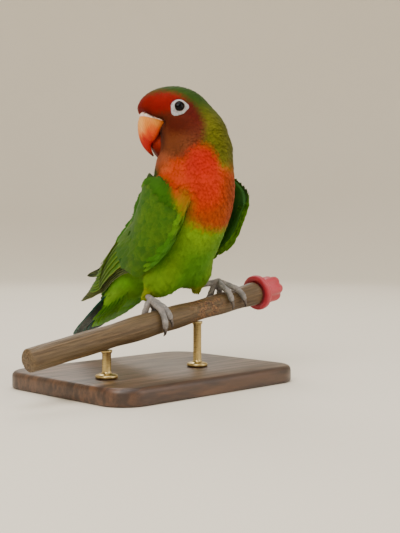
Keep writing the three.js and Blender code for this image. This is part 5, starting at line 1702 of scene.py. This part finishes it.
def scaled_tube(path, radius_at, top_of, rounded, scute=TOE["scute"]):
    """A scaly tube along a path: broad scutes on its upper side and small bumps under it. rounded
    says whether its start and its end close in a dome."""
    t = np.linspace(0, 1, max(int(path.length / TUBE_STEP), 8))
    middle, along = path.at(t), path.along(t, 0.02)
    top = top_of(middle)
    top = unit(top - (top * along).sum(1)[:, None] * along)
    turn = around(TOE["sides"])[None]
    c, s = np.cos(turn), np.sin(turn)
    run = (t * path.length)[:, None]
    saw = np.mod(run / scute + 0.35 * np.abs(s) ** 2, 1.0)
    plate = TOE["step"] * np.where(saw < 0.86, (saw / 0.86) ** 1.4, (1 - saw) / 0.14) * eased(-0.15, 0.45, c)
    bumps = np.sin(run / 0.115) * np.sin(turn * 15) * 0.04 * (1 - eased(-0.4, 0.1, c))
    flanks = (1 - np.abs(c)) ** 2 * 0.035 * np.sin(run / 0.13 + turn * 6)
    radius = radius_at(t)
    out = radius[:, None] + plate + bumps + flanks
    for end, closed in enumerate(rounded):
        if closed:
            off = np.clip(np.abs(t - end) * path.length / radius, 0, 1)
            out = out * np.sqrt(np.clip(1 - (1 - off) ** 2, 0.002, 1))[:, None]
    side = np.cross(along, top)
    return middle[:, None] + out[..., None] * (c[..., None] * top[:, None] + s[..., None] * side[:, None])


def toe_radius(t, joints=(0.3, 0.56, 0.82)):
    """Thicker at each joint's pad, and slimmer to the claw."""
    radius = TOE["radius"] * (1.08 - 0.2 * t)
    for joint in joints:
        radius = (radius + 0.13 * np.exp(-((t - joint) / 0.07) ** 2)
                  - 0.05 * np.exp(-((t - joint - 0.12) / 0.06) ** 2))
    return radius


def claw_rings(path):
    """Rings of a claw that grows on from a toe's end, arches and comes down to a point."""
    tip, along = path.at(1.0), path.along(1.0, 0.02)
    away = away_from_perch(tip[None])[0]
    bend = np.linspace(0, 1, CLAW["rings"])
    middle = (tip - along * CLAW["sunk"] + along * (CLAW["long"] * bend - 1.0 * bend**2)[:, None]
              + away * (0.35 * np.sin(bend * 2.2) - 1.55 * bend**2.2)[:, None])
    direction = unit(np.gradient(middle, axis=0))
    top = unit(away - (direction @ away)[:, None] * direction)
    side = np.cross(direction, top)
    radius = 0.98 * (1 - bend) ** 0.72 + 0.05
    turn = around(CLAW["sides"])[None, :, None]
    oval = 1.05 * np.cos(turn) * top[:, None] + 0.78 * np.sin(turn) * side[:, None]
    return middle[:, None] + radius[:, None, None] * oval


def lofts_piece(name, lofts, ink):
    """Closed lofts in one mesh."""
    places, faces, start = [], [], 0
    for rings in lofts:
        faces += [tuple(v + start for v in f) for f in tube_faces(*rings.shape[:2])]
        places.append(rings.reshape(-1, 3))
        start += len(places[-1])
    return mesh_piece(name, np.concatenate(places) + PERCH_MIDDLE, faces, ink)


foot_skin = ink = Finish("foot_skin", 0.6, Specular_IOR_Level=0.35)
foot_place = ink.place()
mottle = ink.speckle(foot_place, 420.0, 4.0, 0.6)
worn = ink.speckle(foot_place, 150.0, 2.0, 0.5)
cells = ink.node("ShaderNodeTexVoronoi", {"feature": "DISTANCE_TO_EDGE"}, Vector=foot_place,
                 Scale=2100.0).outputs["Distance"]
grey = ink.mix(ink.ramp(mottle, 0.36, 0.66), (116, 113, 110), (156, 150, 146))
grey = ink.mix(ink.ramp(worn, 0.48, 0.68, 0, 0.6), grey, (146, 134, 126))
grey = ink.mix(ink.ramp(cells, 0.0, 0.12, 0.45, 0), grey, (72, 66, 64))
ink.paint(grey, ink.ramp(mottle, 0.3, 0.7, 0.5, 0.68))
ink.bump(ink.ramp(cells, 0.0, 0.2), 0.00007, 0.7)

claw_horn = ink = Finish("claw_horn", 0.32, Specular_IOR_Level=0.5)
claw_tone = ink.speckle(ink.place(), 500.0, 3.0)
ink.paint(ink.mix(ink.ramp(claw_tone, 0.35, 0.65), (48, 42, 40), (96, 86, 80)))
ink.bump(claw_tone, 0.00005, 0.3)

SHANK_SCUTE = 1.3
for word, leg in LEGS.items():
    hub, ankle = np.array(leg["hub"], float), np.array(leg["ankle"], float)
    shank = Curve([ankle + (ankle - hub) * 0.25, ankle, (hub + ankle) / 2, hub + (hub - ankle) * 0.12])
    front_of = lambda places: np.broadcast_to(np.array([0.0, -1.0, 0.25]), places.shape)
    shank_radius = lambda t: 1.72 - 0.3 * np.sin(np.clip(t, 0, 1) * np.pi) + 0.25 * eased(0.7, 1, t)
    foot = [scaled_tube(shank, shank_radius, front_of, (0, 1), SHANK_SCUTE)]
    for index in range(len(leg["toes"])):
        path = toe_path(leg, index)
        foot.append(scaled_tube(path, toe_radius, away_from_perch, (1, 1)))
        claw = lofts_piece(f"claw_horn_{word}_{index + 1}", [claw_rings(path)], claw_horn)
        keep(claw, "claw", f"claw_{word}_{index + 1}")
    keep(lofts_piece(f"scaly_foot_{word}", foot, foot_skin), "foot", f"foot_{word}")
